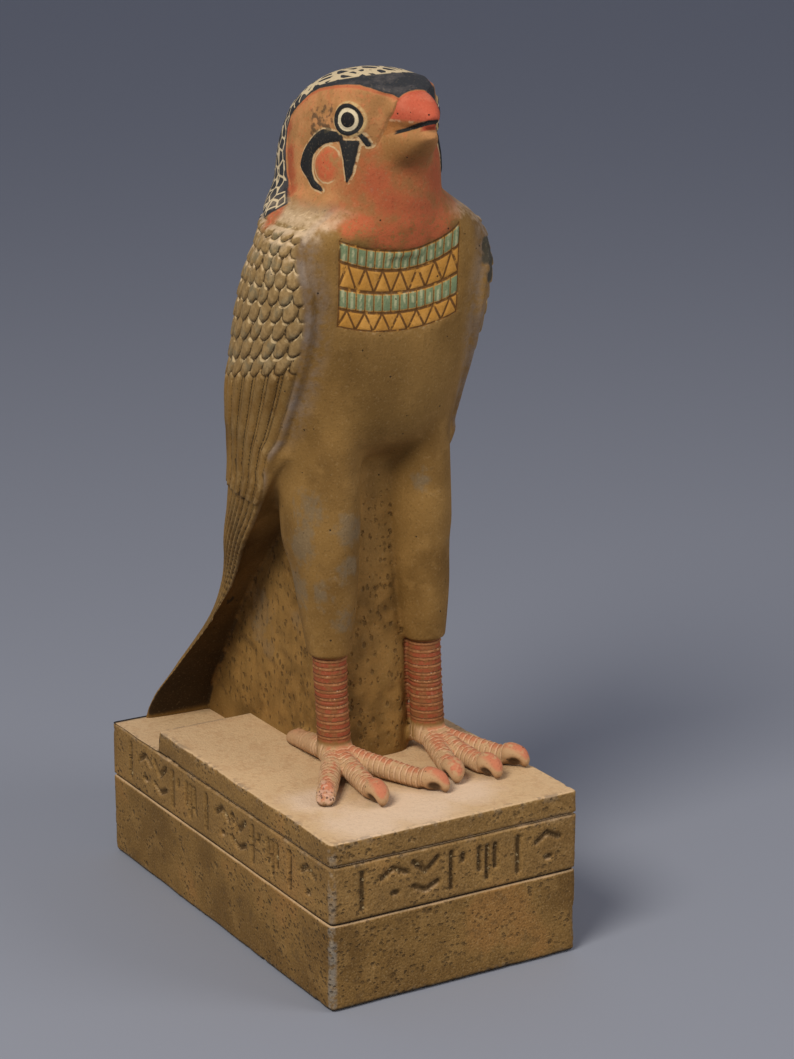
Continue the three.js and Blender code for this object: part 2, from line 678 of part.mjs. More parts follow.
const castStone = new THREE.MeshStandardMaterial({ color: 0x9c7a48, roughness: 0.85, metalness: 0 });
const group = new THREE.Group();
group.add(toMesh(solid, "horus_falcon", castStone));
export default group;
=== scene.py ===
"""Horus falcon figure: a painted cast stone falcon on a stepped plinth, in Blender.

The falcon is worked out in millimetres about its own middle plane and above the plinth's slab, the plinth
about its middle and above the ground. Points are rows of x, y and z, and both pieces are placed in metres
in the part's own frame at the end. Heights run along z, the falcon faces -Y and its left side is +X.
"""
import math
from functools import partialmethod

import bpy
import numpy as np
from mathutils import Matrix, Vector


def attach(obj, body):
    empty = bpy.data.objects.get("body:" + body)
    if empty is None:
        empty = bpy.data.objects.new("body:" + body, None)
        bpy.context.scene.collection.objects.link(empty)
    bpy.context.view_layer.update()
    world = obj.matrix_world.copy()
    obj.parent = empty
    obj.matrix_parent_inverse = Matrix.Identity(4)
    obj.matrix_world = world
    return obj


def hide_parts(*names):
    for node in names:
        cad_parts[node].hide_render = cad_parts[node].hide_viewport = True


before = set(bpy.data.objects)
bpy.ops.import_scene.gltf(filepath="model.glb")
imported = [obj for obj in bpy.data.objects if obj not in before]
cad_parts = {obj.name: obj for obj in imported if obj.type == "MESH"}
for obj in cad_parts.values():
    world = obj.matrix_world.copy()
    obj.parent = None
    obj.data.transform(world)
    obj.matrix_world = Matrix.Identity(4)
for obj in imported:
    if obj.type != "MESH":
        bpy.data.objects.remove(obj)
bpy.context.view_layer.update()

# Plinth, in millimetres
PLINTH_WIDTH = 100
PLINTH_DEPTH = 170
LOWER_COURSE = 31.5
INSCRIBED_COURSE = 20.9
UPPER_SLAB = 8.4
REAR_LEDGE = 38.8
LEDGE_TOP = LOWER_COURSE + INSCRIBED_COURSE
SLAB_TOP = LEDGE_TOP + UPPER_SLAB
BOTTOM_EDGE_WEAR = 1.8
SLAB_EDGE_WEAR = 0.9
CORNER_WEAR = 2
GROOVE_WIDTH = 1.6
GROOVE_DEPTH = 1.2
STROKE_DEPTH = 1.2
STROKE_PITCH = 12.5
STROKE_MARGIN = 3.4
# Groups of strokes, as lines in a cell from -1 to 1 across and from 0 to 1 up
MARKS = [
    [[(0, 0.05), (0, 0.95)]],
    [[(-0.9, 0.92), (0, 0.62), (0.9, 0.92)], [(-0.9, 0.3), (0, 0.14), (0.9, 0.3)]],
    [[(-0.6, 0.35), (-0.6, 0.9)], [(0, 0.1), (0, 0.9)], [(0.6, 0.35), (0.6, 0.9)]],
    [[(-0.9, 0.7), (-0.1, 0.9), (0.9, 0.72)], [(-0.1, 0.25), (0.2, 0.25)]],
    [[(-0.4, 0.05), (-0.4, 0.95)], [(0.5, 0.7), (0.5, 0.82)]],
]

# Falcon
FALCON_OFFSET = 6.5
LEG_SPREAD = 19.5
LEG_PLACE = -20
HEM_HEIGHT = 43
SHANK_RADIUS = 6.3
FOOT_TOP = 13
FOOT_LEAN = 3
CLAW_SHARE = 0.78
SHANK_RING = 2.8
TOE_RING = 2.2
TOE_RADIUS = 3.9
WEB_HALF_WIDTH = 17.2
WEB_FRONT = -20
WEB_HEIGHT = 112
WEB_LEAN = 2
WEB_NOSE = 17
WEB_SQUARE = 4
SUNK_DEPTH = 1.5
VOXEL = 0.58
FALCON_TRIANGLES = 192000
UPWARD = (0, 0, 1)
BACKWARD = (0, 1, 0)

# Level sections: height, place of the widest point, half width, front, back, squareness of each half
TRUNK = [
    (208, -8, 24, -42, 31, 2.2, 2), (202, -10, 30.5, -42, 30, 2.3, 1.8),
    (196, -14.5, 37, -41, 30, 2.9, 1.65), (189, -14.5, 39.3, -39, 31, 3.8, 1.55),
    (178, -12, 39.8, -38, 33.5, 4.6, 1.7), (164, -7, 39.5, -37.5, 37.5, 4, 1.9),
    (150, -2, 38.8, -36.5, 39.5, 3.2, 2.05), (130, 3, 37.3, -35.5, 44.5, 2.5, 2.3),
    (121, 2, 36.5, -32, 46, 2.4, 2.4), (114, -9, 36, -22, 47, 2.4, 2.7),
    (106, -8, 35.8, -8, 48, 2.4, 2.62), (92, 1, 35.3, 5, 49.2, 2.4, 2.5),
    (77, 14, 33.8, 20, 50.8, 2.4, 2.5), (57, 30, 31.3, 39, 53, 2.4, 2.5),
    (42, 43, 31.6, 51, 59, 2.4, 2.4), (17, 65, 36.8, 67, 73.5, 2.4, 2.4),
    (0, 77.5, 42.4, 77, 81.5, 2.4, 2.4), (-UPPER_SLAB, 82.5, 43, 79.5, 84, 2.4, 2.4),
]
HEAD = [
    (186, -8, 26, -40, 30, 2.2, 2), (201, -8, 25, -44, 32, 2.2, 2), (209, -7, 24, -44, 31, 2.2, 2),
    (218, -7.5, 23.6, -43, 28.5, 2.2, 2), (226, -9, 23, -41.5, 24, 2.1, 2),
    (233, -11, 22, -41.5, 18, 2.1, 2), (239, -14, 19.8, -41.5, 8.5, 2.4, 2),
    (243, -17, 16, -39, 2, 2.5, 2), (246, -20, 10.5, -34, -6, 2, 2), (247.5, -22, 3.5, -28, -16, 2, 2),
]

# Heights where the crown starts to close and where the neck's paint starts
CROWN = 240
NECK = 196

# Limbs of the +X side as rows of x, y, z, half width and half depth, the thigh's from the middle of its hem
THIGH = [
    (0, 0, 0, SHANK_RADIUS + 1.1, SHANK_RADIUS + 1.1), (0, 0, 1, SHANK_RADIUS + 1.6, SHANK_RADIUS + 1.6),
    (-0.39, 2.2, 18, 9.9, 12.2), (-0.78, 4.8, 32, 11.2, 15.2), (-0.78, 7.2, 43, 12.6, 18.4),
    (-0.975, 9.4, 65, 12.6, 20.8), (-0.975, 12, 75, 12.6, 24), (-2.34, 14, 84, 13.6, 26.4),
]
BEAK_UPPER = [
    (0, -28, 235.5, 10, 8.5), (0, -38, 236, 9.2, 7.8), (0, -44.5, 235.9, 7.9, 7.3),
    (0, -50, 235.3, 6.2, 6), (0, -54, 234.4, 4.4, 4.3), (0, -57.2, 233.4, 1.9, 2.2),
]
BEAK_LOWER = [
    (0, -28, 221, 12, 10), (0, -40, 223.5, 9.4, 8), (0, -48, 226.4, 7, 5.6), (0, -55.4, 229.8, 2.4, 2.4),
]
BROW = [
    (12, 0, 238.4, 3, 2.4), (15.4, -14, 241.2, 4, 2), (14.6, -25, 242.4, 4.2, 1.9),
    (11.4, -33.5, 242.4, 4.2, 1.8), (5.6, -38.5, 242, 3.8, 1.7), (0, -38.5, 241.6, 3, 1.6),
]

# Toes: side of the foot, place of the tip across and along, and whether a claw ends it
TOES = [
    (-1, -41, -54, False), (-1, -23.8, -64.5, True), (-1, 2.6, -64, True), (-1, -18.5, 10.5, False),
    (1, 40, -57.5, True), (1, 24.8, -62.5, True), (1, 9.6, -59, True), (1, 18.5, 10.5, False),
]

# Plumage: the wing's front edge as height and place along the side, and how far the courses of feathers
# drop from it towards the back at each height
WING_EDGE = [
    (194, -33), (176, -35), (166, -34), (147, -28), (134, -22), (120, -15), (107, -8), (92, 1), (77, 14),
    (57, 30),
]
DROPS = ([-10, 95, 106, 117, 130, 151, 194.3, 208], [0, 0, 3, 8, 15, 22, -1, 0])
WING_RELIEF = 1.4
LEADING_BAND = 3.2
FAR_BAND = 2.4
SCALES_FROM = 151
SCALES_TO = 194.3
SCALE_ROWS = 8
ROW_GROWTH = 0.44
SCALE_COLUMNS = 12
COLUMN_GROWTH = 0.2
SCALE_HANG = 0.55
SCALE_WIDTH = 5.2
SCALE_HEIGHT = 5.4
LAST_TIER = 95
FEATHER_COLUMNS = 11.4
LOWER_FEATHERS = 1.306

# Collar, with each line's height at the middle and at the sides, and its further rise on the +X side
COLLAR_HALF_WIDTH = 23.7
COLLAR_MIDDLE = -1.2
COLLAR_ROW = 7
COLLAR_BEADS = 14
COLLAR_TRIANGLES = 7
COLLAR_LINES = [
    (188.5, 193.5, 2.5), (181.3, 186.6, 1.5), (173.7, 177.6, 1), (166.7, 170.3, 0.8), (160.3, 164, 0.5),
]

# Side of the head: places along it and up it, and how far the eye stands out at each distance from its
# middle
EYE = (-31.3, 232.5)
EYE_EDGE = 5.9
EYE_HEIGHTS = ([0, 1.6, 2.9, 3.6, 4.3, 5, EYE_EDGE], [1.5, 1.3, 0.8, 0.3, 0.9, 0.6, 0])
PUPIL_PLACE = 0.55
WEDGE = [
    (-28.4, 225), (-30.6, 219.1), (-31.4, 215.2), (-32, 211.9), (-33.4, 215.3), (-33.9, 219.3),
    (-34.2, 225.4),
]
CRESCENT_OUTER = [
    (-29, 227.8), (-25.4, 227.8), (-21.9, 228.2), (-18.5, 226.6), (-14.4, 223.1), (-11.1, 219),
    (-9.8, 215.1), (-13.8, 211.6), (-17.5, 208.6), (-22.4, 207.9),
]
CRESCENT_INNER = [
    (-21.1, 209.1), (-17.6, 211), (-16, 214.9), (-16.2, 218.2), (-19, 221.9), (-24.2, 224.5), (-28.8, 225.4),
]
CHEEK = [
    (-29, 217.2), (-27.6, 221.4), (-24, 222.8), (-20.4, 220.4), (-18.2, 216.8), (-19.4, 212.9), (-23.5, 211),
    (-27.4, 212.6), (-29, 217.2),
]
TEAR = [(-34.4, 228.2), (-35.6, 226.2), (-36.7, 224.5)]
CAP = [
    (-11.6, 202.9), (-7.8, 200.2), (-3.3, 197.6), (5, 195), (15, 193.8), (60, 193), (60, 260), (-46, 260),
    (-46.4, 242.6), (-45.4, 240.6), (-40.8, 241.9), (-36.9, 243.2), (-32, 244), (-27.5, 243.8),
    (-22.6, 243.1), (-14.9, 241.5), (-9.5, 239.3), (-4.7, 235.5), (2.3, 230.5), (3.6, 226), (2.9, 220.3),
    (2.1, 215.3), (0.3, 210.4), (-3.7, 205.9),
]
CERE = [
    (-45, 240.1), (-45, 237.9), (-44, 235.5), (-41.2, 232.8), (-39.7, 229.4), (-38.9, 226.7), (-38, 224.1),
]
BEAK_END = [(-70, 224), (-70, 250), (-45, 250)]
MOUTH = [(-44, 228.9), (-49.3, 230.4), (-53.6, 231.7), (-56.4, 232.9), (-59, 234)]
MOUTH_CORNER = (-44.7, 229)
MOUTH_SLOPE = 0.35

# Soft patches of paint and wear, each x, y, z and reach
PATCHES = {
    "red": [
        (-22, 1.7, 225.5, 3.4), (-23.3, -1.5, 218, 3.6), (-24, -3, 211, 3.6), (-24.8, -5.3, 206, 3.6),
        (-11.5, -40, 213, 5), (-8, -42, 206, 5), (2, -42.5, 200, 8), (4, -43, 192, 8), (-8, -41.5, 194, 7),
        (-16, -39, 198, 5), (12, -40.5, 212, 7), (14, -39, 221, 6), (12, -40, 196, 7),
        (-33.5, -9, 197.5, 5.5), (-21, -38, 197, 4),
    ],
    "grey": [
        (-29, -22, 96, 8), (-29.7, -18.9, 84, 8), (-16, -29, 90, 7), (-28.3, -14.6, 67, 8),
        (-17, -29, 76, 6), (-26.5, -25.7, 68, 5), (-18.5, -28.5, 58, 6), (-16.5, 35, 44, 10),
        (-16.5, 38, 36, 7), (-16.5, 30, 30, 5), (13, -28, 104, 4), (24, -24, 80, 5), (-16.5, 8, 47, 4),
    ],
    "dark": [(36, -33.5, 186, 4), (37.5, -33, 181, 5), (36.5, -34, 175, 4), (-24.5, 46, 46, 2.5)],
    "smudge": [
        (-20.6, -24.6, 235.2, 2.2), (-21, -20.6, 234.4, 2.6), (-21.6, -16.4, 232.4, 3),
        (-21.6, -20.6, 230.8, 2.6), (-21.4, -25, 231.6, 1.8), (-22.3, -17.3, 228.2, 3),
        (-21, -23.4, 229, 2.2),
    ],
    "broken": [(-40, -51, 3, 6), (-39.4, -46, 5, 4)],
}
# Dusty patches on the slab, with z from the ground
PALE_PATCHES = [
    (-30, -72, SLAB_TOP, 16), (-8, -68, SLAB_TOP, 18), (14, -62, SLAB_TOP, 16), (-34, -46, SLAB_TOP, 12),
]

# Camera's place in metres, its turn and dip in degrees, and its lens and sensor in millimetres
CAMERA_PLACE = (-0.4762, -0.8402, 0.4164)
CAMERA_YAW = 30.905
CAMERA_PITCH = 15.845
CAMERA_LENS = 95.2
CAMERA_SENSOR = 36

# Floor's size and its gap below the plinth, in metres
FLOOR_SIZE = 8
FLOOR_GAP = 0.0002

# Places of the colour sockets on a mix node
MIX_BELOW, MIX_ABOVE, MIX_RESULT = 6, 7, 2

# Colours, as a display shows them
BLACK = (30, 30, 30)
CREAM = (196, 172, 130)
# Dark brown of dirt, also laid in hollows and cut marks as painted shade
SOIL_AND_SHADE = (50, 34, 14)
CAP_COLOUR = (44, 45, 48)
# Painted shade in the creases of the rings
CREASE_SHADE = (58, 30, 14)
GRIT = (206, 178, 132)


def smooth(value, low, high):
    """0 before low and 1 after high, with a soft passage."""
    t = np.clip((value - low) / (high - low), 0, 1)
    return t * t * (3 - 2 * t)


def bump_of(value, middle, reach):
    """Soft bump: 1 in its middle, next to nothing beyond twice its reach."""
    return np.exp(-((value - middle) / reach) ** 2)


def arch(value, middle, reach):
    """Half round: 1 in its middle, 0 at its reach and beyond."""
    return np.sqrt(np.clip(1 - ((value - middle) / reach) ** 2, 0, 1))


def squared(wave, square):
    """A round section's sine or cosine, drawn out towards a square one's."""
    return np.sign(wave) * np.abs(wave) ** (2 / square)


def part_of(t):
    """Place within a repeat, from 0 to 1."""
    return t - np.floor(t)


def from_middle(t):
    """0 in the middle of a repeat, 1 at its ends."""
    return np.abs(part_of(t) - 0.5) * 2


def through(rows, at):
    """Monotone cubic through rows of numbers sorted by their first column."""
    rows = np.asarray(rows, float)
    rows = rows[np.argsort(rows[:, 0])]
    knots, values = rows[:, 0], rows[:, 1:]
    step = np.diff(knots)[:, None]
    slope = np.diff(values, axis=0) / step
    tangent = np.zeros_like(values)
    product = slope[:-1] * slope[1:]
    total = np.where(product > 0, slope[:-1] + slope[1:], 1)
    tangent[1:-1] = np.where(product > 0, 2 * product / total, 0)
    at = np.asarray(at, float)
    i = np.clip(np.searchsorted(knots, at, "right") - 1, 0, len(knots) - 2)
    t = np.clip((at - knots[i]) / step[i, 0], 0, 1)[..., None]
    rise = values[i + 1] - values[i]
    bulge = (1 - t) * (tangent[i] * step[i] - rise) - t * (tangent[i + 1] * step[i] - rise)
    return values[i] + rise * t + t * (1 - t) * bulge


def rounded(line, steps):
    """Points of a smooth curve through a line's points."""
    line = np.asarray(line, float)
    at = np.linspace(0, len(line) - 1, (len(line) - 1) * steps + 1)
    return through(np.column_stack([np.arange(len(line)), line]), at)


def section_point(section, angle):
    """Point of level sections: angle 0 is the +X side, a quarter turn on is the back."""
    middle, half, front, back, square_front, square_back = np.moveaxis(section, -1, 0)
    wave = np.sin(angle)
    square = np.where(wave < 0, square_front, square_back)
    end = np.where(wave < 0, front, back)
    return half * squared(np.cos(angle), square), middle + (end - middle) * squared(np.abs(wave), square)


def loft(rings):
    """Vertices and faces of a closed skin through rings, an array of ring, point and coordinate."""
    rings = np.asarray(rings, float)
    n, m = rings.shape[:2]
    index = np.arange(n * m).reshape(n, m)
    after = np.roll(index, -1, axis=1)
    quads = np.stack([index[:-1], after[:-1], after[1:], index[1:]], axis=-1).reshape(-1, 4)
    return rings.reshape(-1, 3), quads.tolist() + [index[0][::-1].tolist(), index[-1].tolist()]


def limb(rows, count, reference, steps=10, square=2):
    """Round or oval limb through rows of x, y, z, half width and half depth, drawn smooth between them."""
    fine = rounded(rows, steps)
    along = np.gradient(fine[:, :3], axis=0)
    along /= np.linalg.norm(along, axis=1)[:, None]
    right = np.cross(np.asarray(reference, float), along)
    right /= np.linalg.norm(right, axis=1)[:, None]
    up = np.cross(along, right)
    angle = np.arange(count) * 2 * math.pi / count
    c, s = squared(np.cos(angle), square), squared(np.sin(angle), square)
    return loft(fine[:, None, :3] + right[:, None] * (fine[:, 3, None] * c)[..., None]
                + up[:, None] * (fine[:, 4, None] * s)[..., None])


# Arc lengths of the trunk's sections from the front's middle to the back's, by height and angle
ARC_HEIGHTS = np.arange(-12, 212.5, 1.0)
ARC_ANGLES = np.linspace(-math.pi / 2, math.pi / 2, 241)


def arc_table():
    """The arc lengths at every height and angle of the table."""
    x, y = section_point(through(TRUNK, ARC_HEIGHTS)[:, None], ARC_ANGLES[None])
    steps = np.hypot(np.diff(x, axis=1), np.diff(y, axis=1))
    return np.concatenate([np.zeros((len(x), 1)), np.cumsum(steps, axis=1)], axis=1)


ARCS = arc_table()


def arc_at(z, angle):
    """Arc length at a height and angle, between the table's values."""
    u = np.clip(z - ARC_HEIGHTS[0], 0, len(ARC_HEIGHTS) - 1.001)
    v = np.clip((angle - ARC_ANGLES[0]) / (ARC_ANGLES[1] - ARC_ANGLES[0]), 0, len(ARC_ANGLES) - 1.001)
    i, j = u.astype(int), v.astype(int)
    u, v = u - i, v - j
    low = ARCS[i, j] * (1 - v) + ARCS[i, j + 1] * v
    high = ARCS[i + 1, j] * (1 - v) + ARCS[i + 1, j + 1] * v
    return low * (1 - u) + high * u


def edge_angle(z):
    """Angle of the wing's front edge on each section."""
    middle, _, front, _, square_front, _ = np.moveaxis(through(TRUNK, z), -1, 0)
    share = (middle - through(WING_EDGE, z)[..., 0]) / np.where(middle > front, middle - front, 1)
    found = -np.arcsin(np.clip(share, 0, 0.985) ** (square_front / 2))
    return np.where((z < 107) | (share <= 0), 0, found)


def plumage_rise(z):
    """How far the plumage stands proud of the plain side, on average."""
    fade = smooth(z, 40, 75) * (1 - smooth(z, 176, 196))
    heights = [-10, 76, 94, 96, 140, 151, 188, 198, 208]
    return WING_RELIEF * fade + np.interp(z, heights, [0.2, 0.3, 0.4, 0.75, 0.85, 0.85, 0.85, 0.2, 0])


def trunk():
    """Body, folded wings and tail, whose points lie evenly around each section."""
    heights = np.arange(-UPPER_SLAB - SUNK_DEPTH, 208.4, 0.9)
    share = np.linspace(0, 1, 171)
    rings = []
    for section, z, edge in zip(through(TRUNK, heights), heights, edge_angle(heights)):
        arcs = arc_at(np.full(len(ARC_ANGLES), z), ARC_ANGLES)
        wanted = share * arcs[-1]
        x, y = section_point(section, np.interp(wanted, arcs, ARC_ANGLES))
        along = np.stack([np.gradient(x), np.gradient(y)])
        along /= np.linalg.norm(along, axis=0) + 1e-9
        rise = plumage_rise(z) * smooth(wanted - np.interp(edge, ARC_ANGLES, arcs), -0.2, 1.3)
        x = np.maximum(x + along[1] * rise, 0)
        side = np.stack([x, y - along[0] * rise, np.full(len(x), z)], axis=-1)
        rings.append(np.concatenate([side, side[1:-1][::-1] * (-1, 1, 1)]))
    return loft(rings)


def head():
    """Plain head and neck."""
    bottom, top = HEAD[0][0], HEAD[-1][0]
    heights = np.concatenate([np.arange(bottom, CROWN, 1.0), np.arange(CROWN, top, 0.5), [top]])
    angle = np.arange(160) * 2 * math.pi / 160
    x, y = section_point(through(HEAD, heights)[:, None], angle[None])
    return loft(np.stack([x, y, np.broadcast_to(heights[:, None], x.shape)], axis=-1))


def thigh(side):
    """Thigh down to its hem, round below and deep above."""
    rows = [(side * (LEG_SPREAD + x), LEG_PLACE + y, HEM_HEIGHT + z, *half) for x, y, z, *half in THIGH]
    return limb(rows, 48, BACKWARD, steps=12)


def ringed(t):
    """Height across scaly skin: a narrow ridge, then a wide low band, with creases between."""
    return np.maximum(arch(part_of(t), 0.18, 0.18), 0.7 * arch(part_of(t), 0.68, 0.32))


def leg_lean(z):
    """How far before its upper end the shank stands at a height."""
    return FOOT_LEAN * (1 - smooth(z, 4, HEM_HEIGHT))


def shank(side):
    """Bare part of a leg, from the foot into the thigh's hem."""
    z = np.arange(4, HEM_HEIGHT + 3, 0.5)
    radius = SHANK_RADIUS - 0.3 + 1.2 * (1 - smooth(z, 5, FOOT_TOP))
    middle = np.full(len(z), side * LEG_SPREAD)
    rows = np.column_stack([middle, LEG_PLACE - leg_lean(z), z, radius, radius])
    return limb(rows, 44, BACKWARD, steps=1)


def foot_middle(side):
    """Place of a foot's middle, across and along."""
    return np.array([side * LEG_SPREAD, LEG_PLACE - FOOT_LEAN])


def toe(side, tip_x, tip_y, clawed):
    """Toe from the foot's middle to its claw, which arches down to the slab."""
    root = foot_middle(side)
    way = (tip_x, tip_y) - root
    share = np.linspace(0, 1, int(np.linalg.norm(way) / 0.35))
    skin = np.interp(share, [0, 0.16, 0.5, 0.76, 0.8], [1.15, 1.02, 0.95, 0.9, 0.84])
    height = np.interp(share, [0, 0.16, 0.3, 0.7, 0.76], [7, 6.1, 5.2, 3.5, 3.4])
    if clawed:
        claw = [(0.77, 0.72, 0.72, 3.5), (0.83, 1.06, 1.06, 4.4), (0.91, 1, 1, 4), (0.97, 0.66, 0.66, 2.5)]
        wide, deep, rise = through([*claw, (1, 0.25, 0.3, 0.9)], share).T
    else:
        wide = np.interp(share, [0.8, 0.88, 0.95, 1], [0.93, 0.95, 0.86, 0.55])
        deep = np.interp(share, [0.8, 0.88, 0.95, 1], [0.93, 0.82, 0.7, 0.42])
        rise = np.interp(share, [0.76, 0.88, 1], [3.4, 2.7, 1.6])
    wide, deep = [np.where(share > CLAW_SHARE, end, skin) * TOE_RADIUS for end in (wide, deep)]
    z = np.where(share > 0.76, rise, height)
    return limb(np.column_stack([root + way * share[:, None], z, wide, deep]), 30, UPWARD, steps=1)


def toe_fields(points):
    """How far along the nearest toe a point lies, how far to its side, what is left to its tip, and how
    near it is to the hollow beside a claw."""
    x, y, z = points.T
    best, along, aside, left, hollow = np.zeros((5, len(x)))
    best += 9
    aside += 9
    for side, tip_x, tip_y, clawed in TOES:
        root = foot_middle(side)
        length = np.linalg.norm((tip_x, tip_y) - root)
        way = ((tip_x, tip_y) - root) / length
        place = (x - root[0]) * way[0] + (y - root[1]) * way[1]
        off = (y - root[1]) * way[0] - (x - root[0]) * way[1]
        distance = np.hypot(off, np.maximum(place - length, 0) + np.maximum(-place, 0))
        nearer = distance < best
        for field, value in ((best, distance), (along, place), (aside, off), (left, length - place)):
            field[nearer] = value[nearer]
        if clawed:
            spot = (tip_x, tip_y) - 3.8 * way + 3.4 * np.array([way[1], -way[0]])
            gap = (x - spot[0]) ** 2 + (y - spot[1]) ** 2 + (z - 1.8) ** 2
            hollow = np.maximum(hollow, np.exp(-gap / 2.4 ** 2))
    return along, aside, left, hollow


def on_shank(points):
    """1 on the ringed skin of the shanks, 0 away from it."""
    x, y, z = points.T
    from_leg = np.hypot(np.abs(x) - LEG_SPREAD, y - LEG_PLACE + leg_lean(z))
    tall = smooth(z, FOOT_TOP - 1.5, FOOT_TOP) * (1 - smooth(z, HEM_HEIGHT - 1, HEM_HEIGHT))
    return smooth(7.9 - from_leg, 0, 0.7) * tall


def ring_relief(points):
    """Height of the ridges across the shanks and toes, with the hollows beside the claws."""
    z = points[:, 2]
    along, aside, left, hollow = toe_fields(points)
    toe_skin = smooth(along, 5, 7) * smooth(left, 7.5, 9) * smooth(6 - np.abs(aside), 0, 1)
    toe_skin *= smooth(z, 0.6, 1.6) * (1 - smooth(z, 10, 12))
    rings = on_shank(points) * 0.95 * (ringed((z - FOOT_TOP) / SHANK_RING) - 0.6)
    return rings + 0.6 * toe_skin * (ringed(along / TOE_RING) - 0.6) - 2.2 * hollow


def web_front(z):
    """Place of the web's front at a height."""
    return WEB_FRONT + WEB_LEAN * z / WEB_HEIGHT


def web():
    """Support behind the legs, with a blunt round nose."""
    count = 60
    angle = math.pi + math.pi * np.arange(33) / 32
    nose = WEB_NOSE * squared(np.abs(np.sin(angle)), WEB_SQUARE)
    ends = np.full(count, WEB_HALF_WIDTH)
    x = np.concatenate([WEB_HALF_WIDTH * squared(np.cos(angle), WEB_SQUARE), ends, -ends])
    rings = []
    for z in np.arange(-UPPER_SLAB - SUNK_DEPTH, WEB_HEIGHT + 2, 1.5):
        shoulder = web_front(z) + WEB_NOSE
        rear = max(through(TRUNK, z)[2] + 2, shoulder + 1)
        sides = shoulder + (rear - shoulder) * np.arange(1, count + 1) / count
        y = np.concatenate([shoulder - nose, sides, sides[::-1]])
        rings.append(np.stack([x, y, np.full(len(x), z)], axis=-1))
    return loft(rings)


def on_web(points):
    """1 on the rough faces of the web between the legs, 0 away from it."""
    x, y, z = points.T
    nose = np.maximum(web_front(z) + WEB_NOSE - y, 0) / WEB_NOSE
    blunt = ((np.abs(x) / WEB_HALF_WIDTH) ** WEB_SQUARE + nose ** WEB_SQUARE) ** (1 / WEB_SQUARE)
    off = np.abs(blunt - 1) * WEB_HALF_WIDTH
    return smooth(1.5 - off, 0, 0.8) * (1 - smooth(z, 96, 104)) * smooth(z, 1, 3) * (1 - on_shank(points))


def beak():
    """Upper and lower half of the beak."""
    return [limb(BEAK_UPPER, 60, UPWARD, square=2.25), limb(BEAK_LOWER, 60, UPWARD, square=2.7)]


def brow(side):
    """Ridge over an eye, from the back of the cap to the beak."""
    return limb([(side * x, *rest) for x, *rest in BROW], 40, UPWARD)


def added(name, data):
    """A new object in the scene."""
    piece = bpy.data.objects.new(name, data)
    bpy.context.scene.collection.objects.link(piece)
    return piece


def skin_object(name, points, faces):
    """A mesh object of points and faces."""
    mesh = bpy.data.meshes.new(name)
    mesh.from_pydata(points.tolist(), [], faces)
    return added(name, mesh)


def shaped_mesh(piece):
    """A piece's mesh as its modifiers shape it."""
    bpy.context.view_layer.update()
    return bpy.data.meshes.new_from_object(piece.evaluated_get(bpy.context.evaluated_depsgraph_get()))


def numbers(items, name, width, kind=float):
    """One property of all the items of a mesh, in rows of a width."""
    values = np.empty(len(items) * width, kind)
    items.foreach_get(name, values)
    return values.reshape(-1, width)


def fused(shapes):
    """Skins, each a pair of vertices and faces, melted into one even skin of points and quads."""
    points, faces = [], []
    total = 0
    for vertices, polygons in shapes:
        points.append(vertices)
        faces += [[i + total for i in polygon] for polygon in polygons]
        total += len(vertices)
    rough = skin_object("rough", np.concatenate(points), faces)
    remesh = rough.modifiers.new("remesh", "REMESH")
    remesh.mode = "VOXEL"
    remesh.voxel_size = VOXEL
    melted = shaped_mesh(rough)
    bpy.data.objects.remove(rough)
    return numbers(melted.vertices, "co", 3), numbers(melted.loops, "vertex_index", 1, int).reshape(-1, 4)


def neighbour_mean(values, starts, ends):
    """Mean of the values at the far ends of each point's edges."""
    total = np.stack([np.bincount(starts, values[ends, k], len(values)) for k in range(values.shape[1])], -1)
    return total / np.bincount(starts, minlength=len(values))[:, None]


def eased(points, quads, weight, rounds):
    """Points drawn towards their neighbours, by a weight for each point."""
    starts = quads.ravel()
    ends = np.roll(quads, -1, axis=1).ravel()
    for _ in range(rounds):
        points = points + weight[:, None] * (neighbour_mean(points, starts, ends) - points)
    return points


def outward(points, quads):
    """Direction out of the skin at each point."""
    corner = points[quads]
    normal = np.repeat(np.cross(corner[:, 2] - corner[:, 0], corner[:, 3] - corner[:, 1]), 4, axis=0)
    total = np.stack([np.bincount(quads.ravel(), normal[:, k], len(points)) for k in range(3)], -1)
    return total / (np.linalg.norm(total, axis=1)[:, None] + 1e-12)


def junctions(points):
    """Where the falcon's parts flow into each other: 1 on the joint, 0 away from it."""
    x, y, z = points.T
    neck = bump_of(z, 199, 6) * (1 - 0.7 * bump_of(y, 32, 8))
    belly = bump_of(z, 112, 13) * smooth(18 - y, 0, 10) * (np.abs(x) < 33)
    from_foot = np.hypot(np.abs(x) - LEG_SPREAD, y - LEG_PLACE + FOOT_LEAN)
    foot = 0.6 * smooth(9.5 - from_foot, 0, 3) * smooth(9.5 - z, 0, 2)
    crown = smooth(z, 238, 242) * smooth(y, -43, -39) * 0.8
    cheek = bump_of(z, 230, 5) * smooth(y, -47, -43) * smooth(-30 - y, 0, 5) * 0.4
    chin = bump_of(z, 217, 8) * smooth(-36 - y, 0, 5) * smooth(228 - z, 0, 4)
    return np.clip(neck + belly + foot + crown + cheek + chin, 0, 1)


def line_distance(y, z, line):
    """Distance to an open line on the side."""
    best = np.full(len(y), 1e9)
    for (ay, az), (by, bz) in zip(line[:-1], line[1:]):
        ey, ez = by - ay, bz - az
        t = np.clip(((y - ay) * ey + (z - az) * ez) / (ey * ey + ez * ez + 1e-9), 0, 1)
        best = np.minimum(best, np.hypot(y - ay - t * ey, z - az - t * ez))
    return best


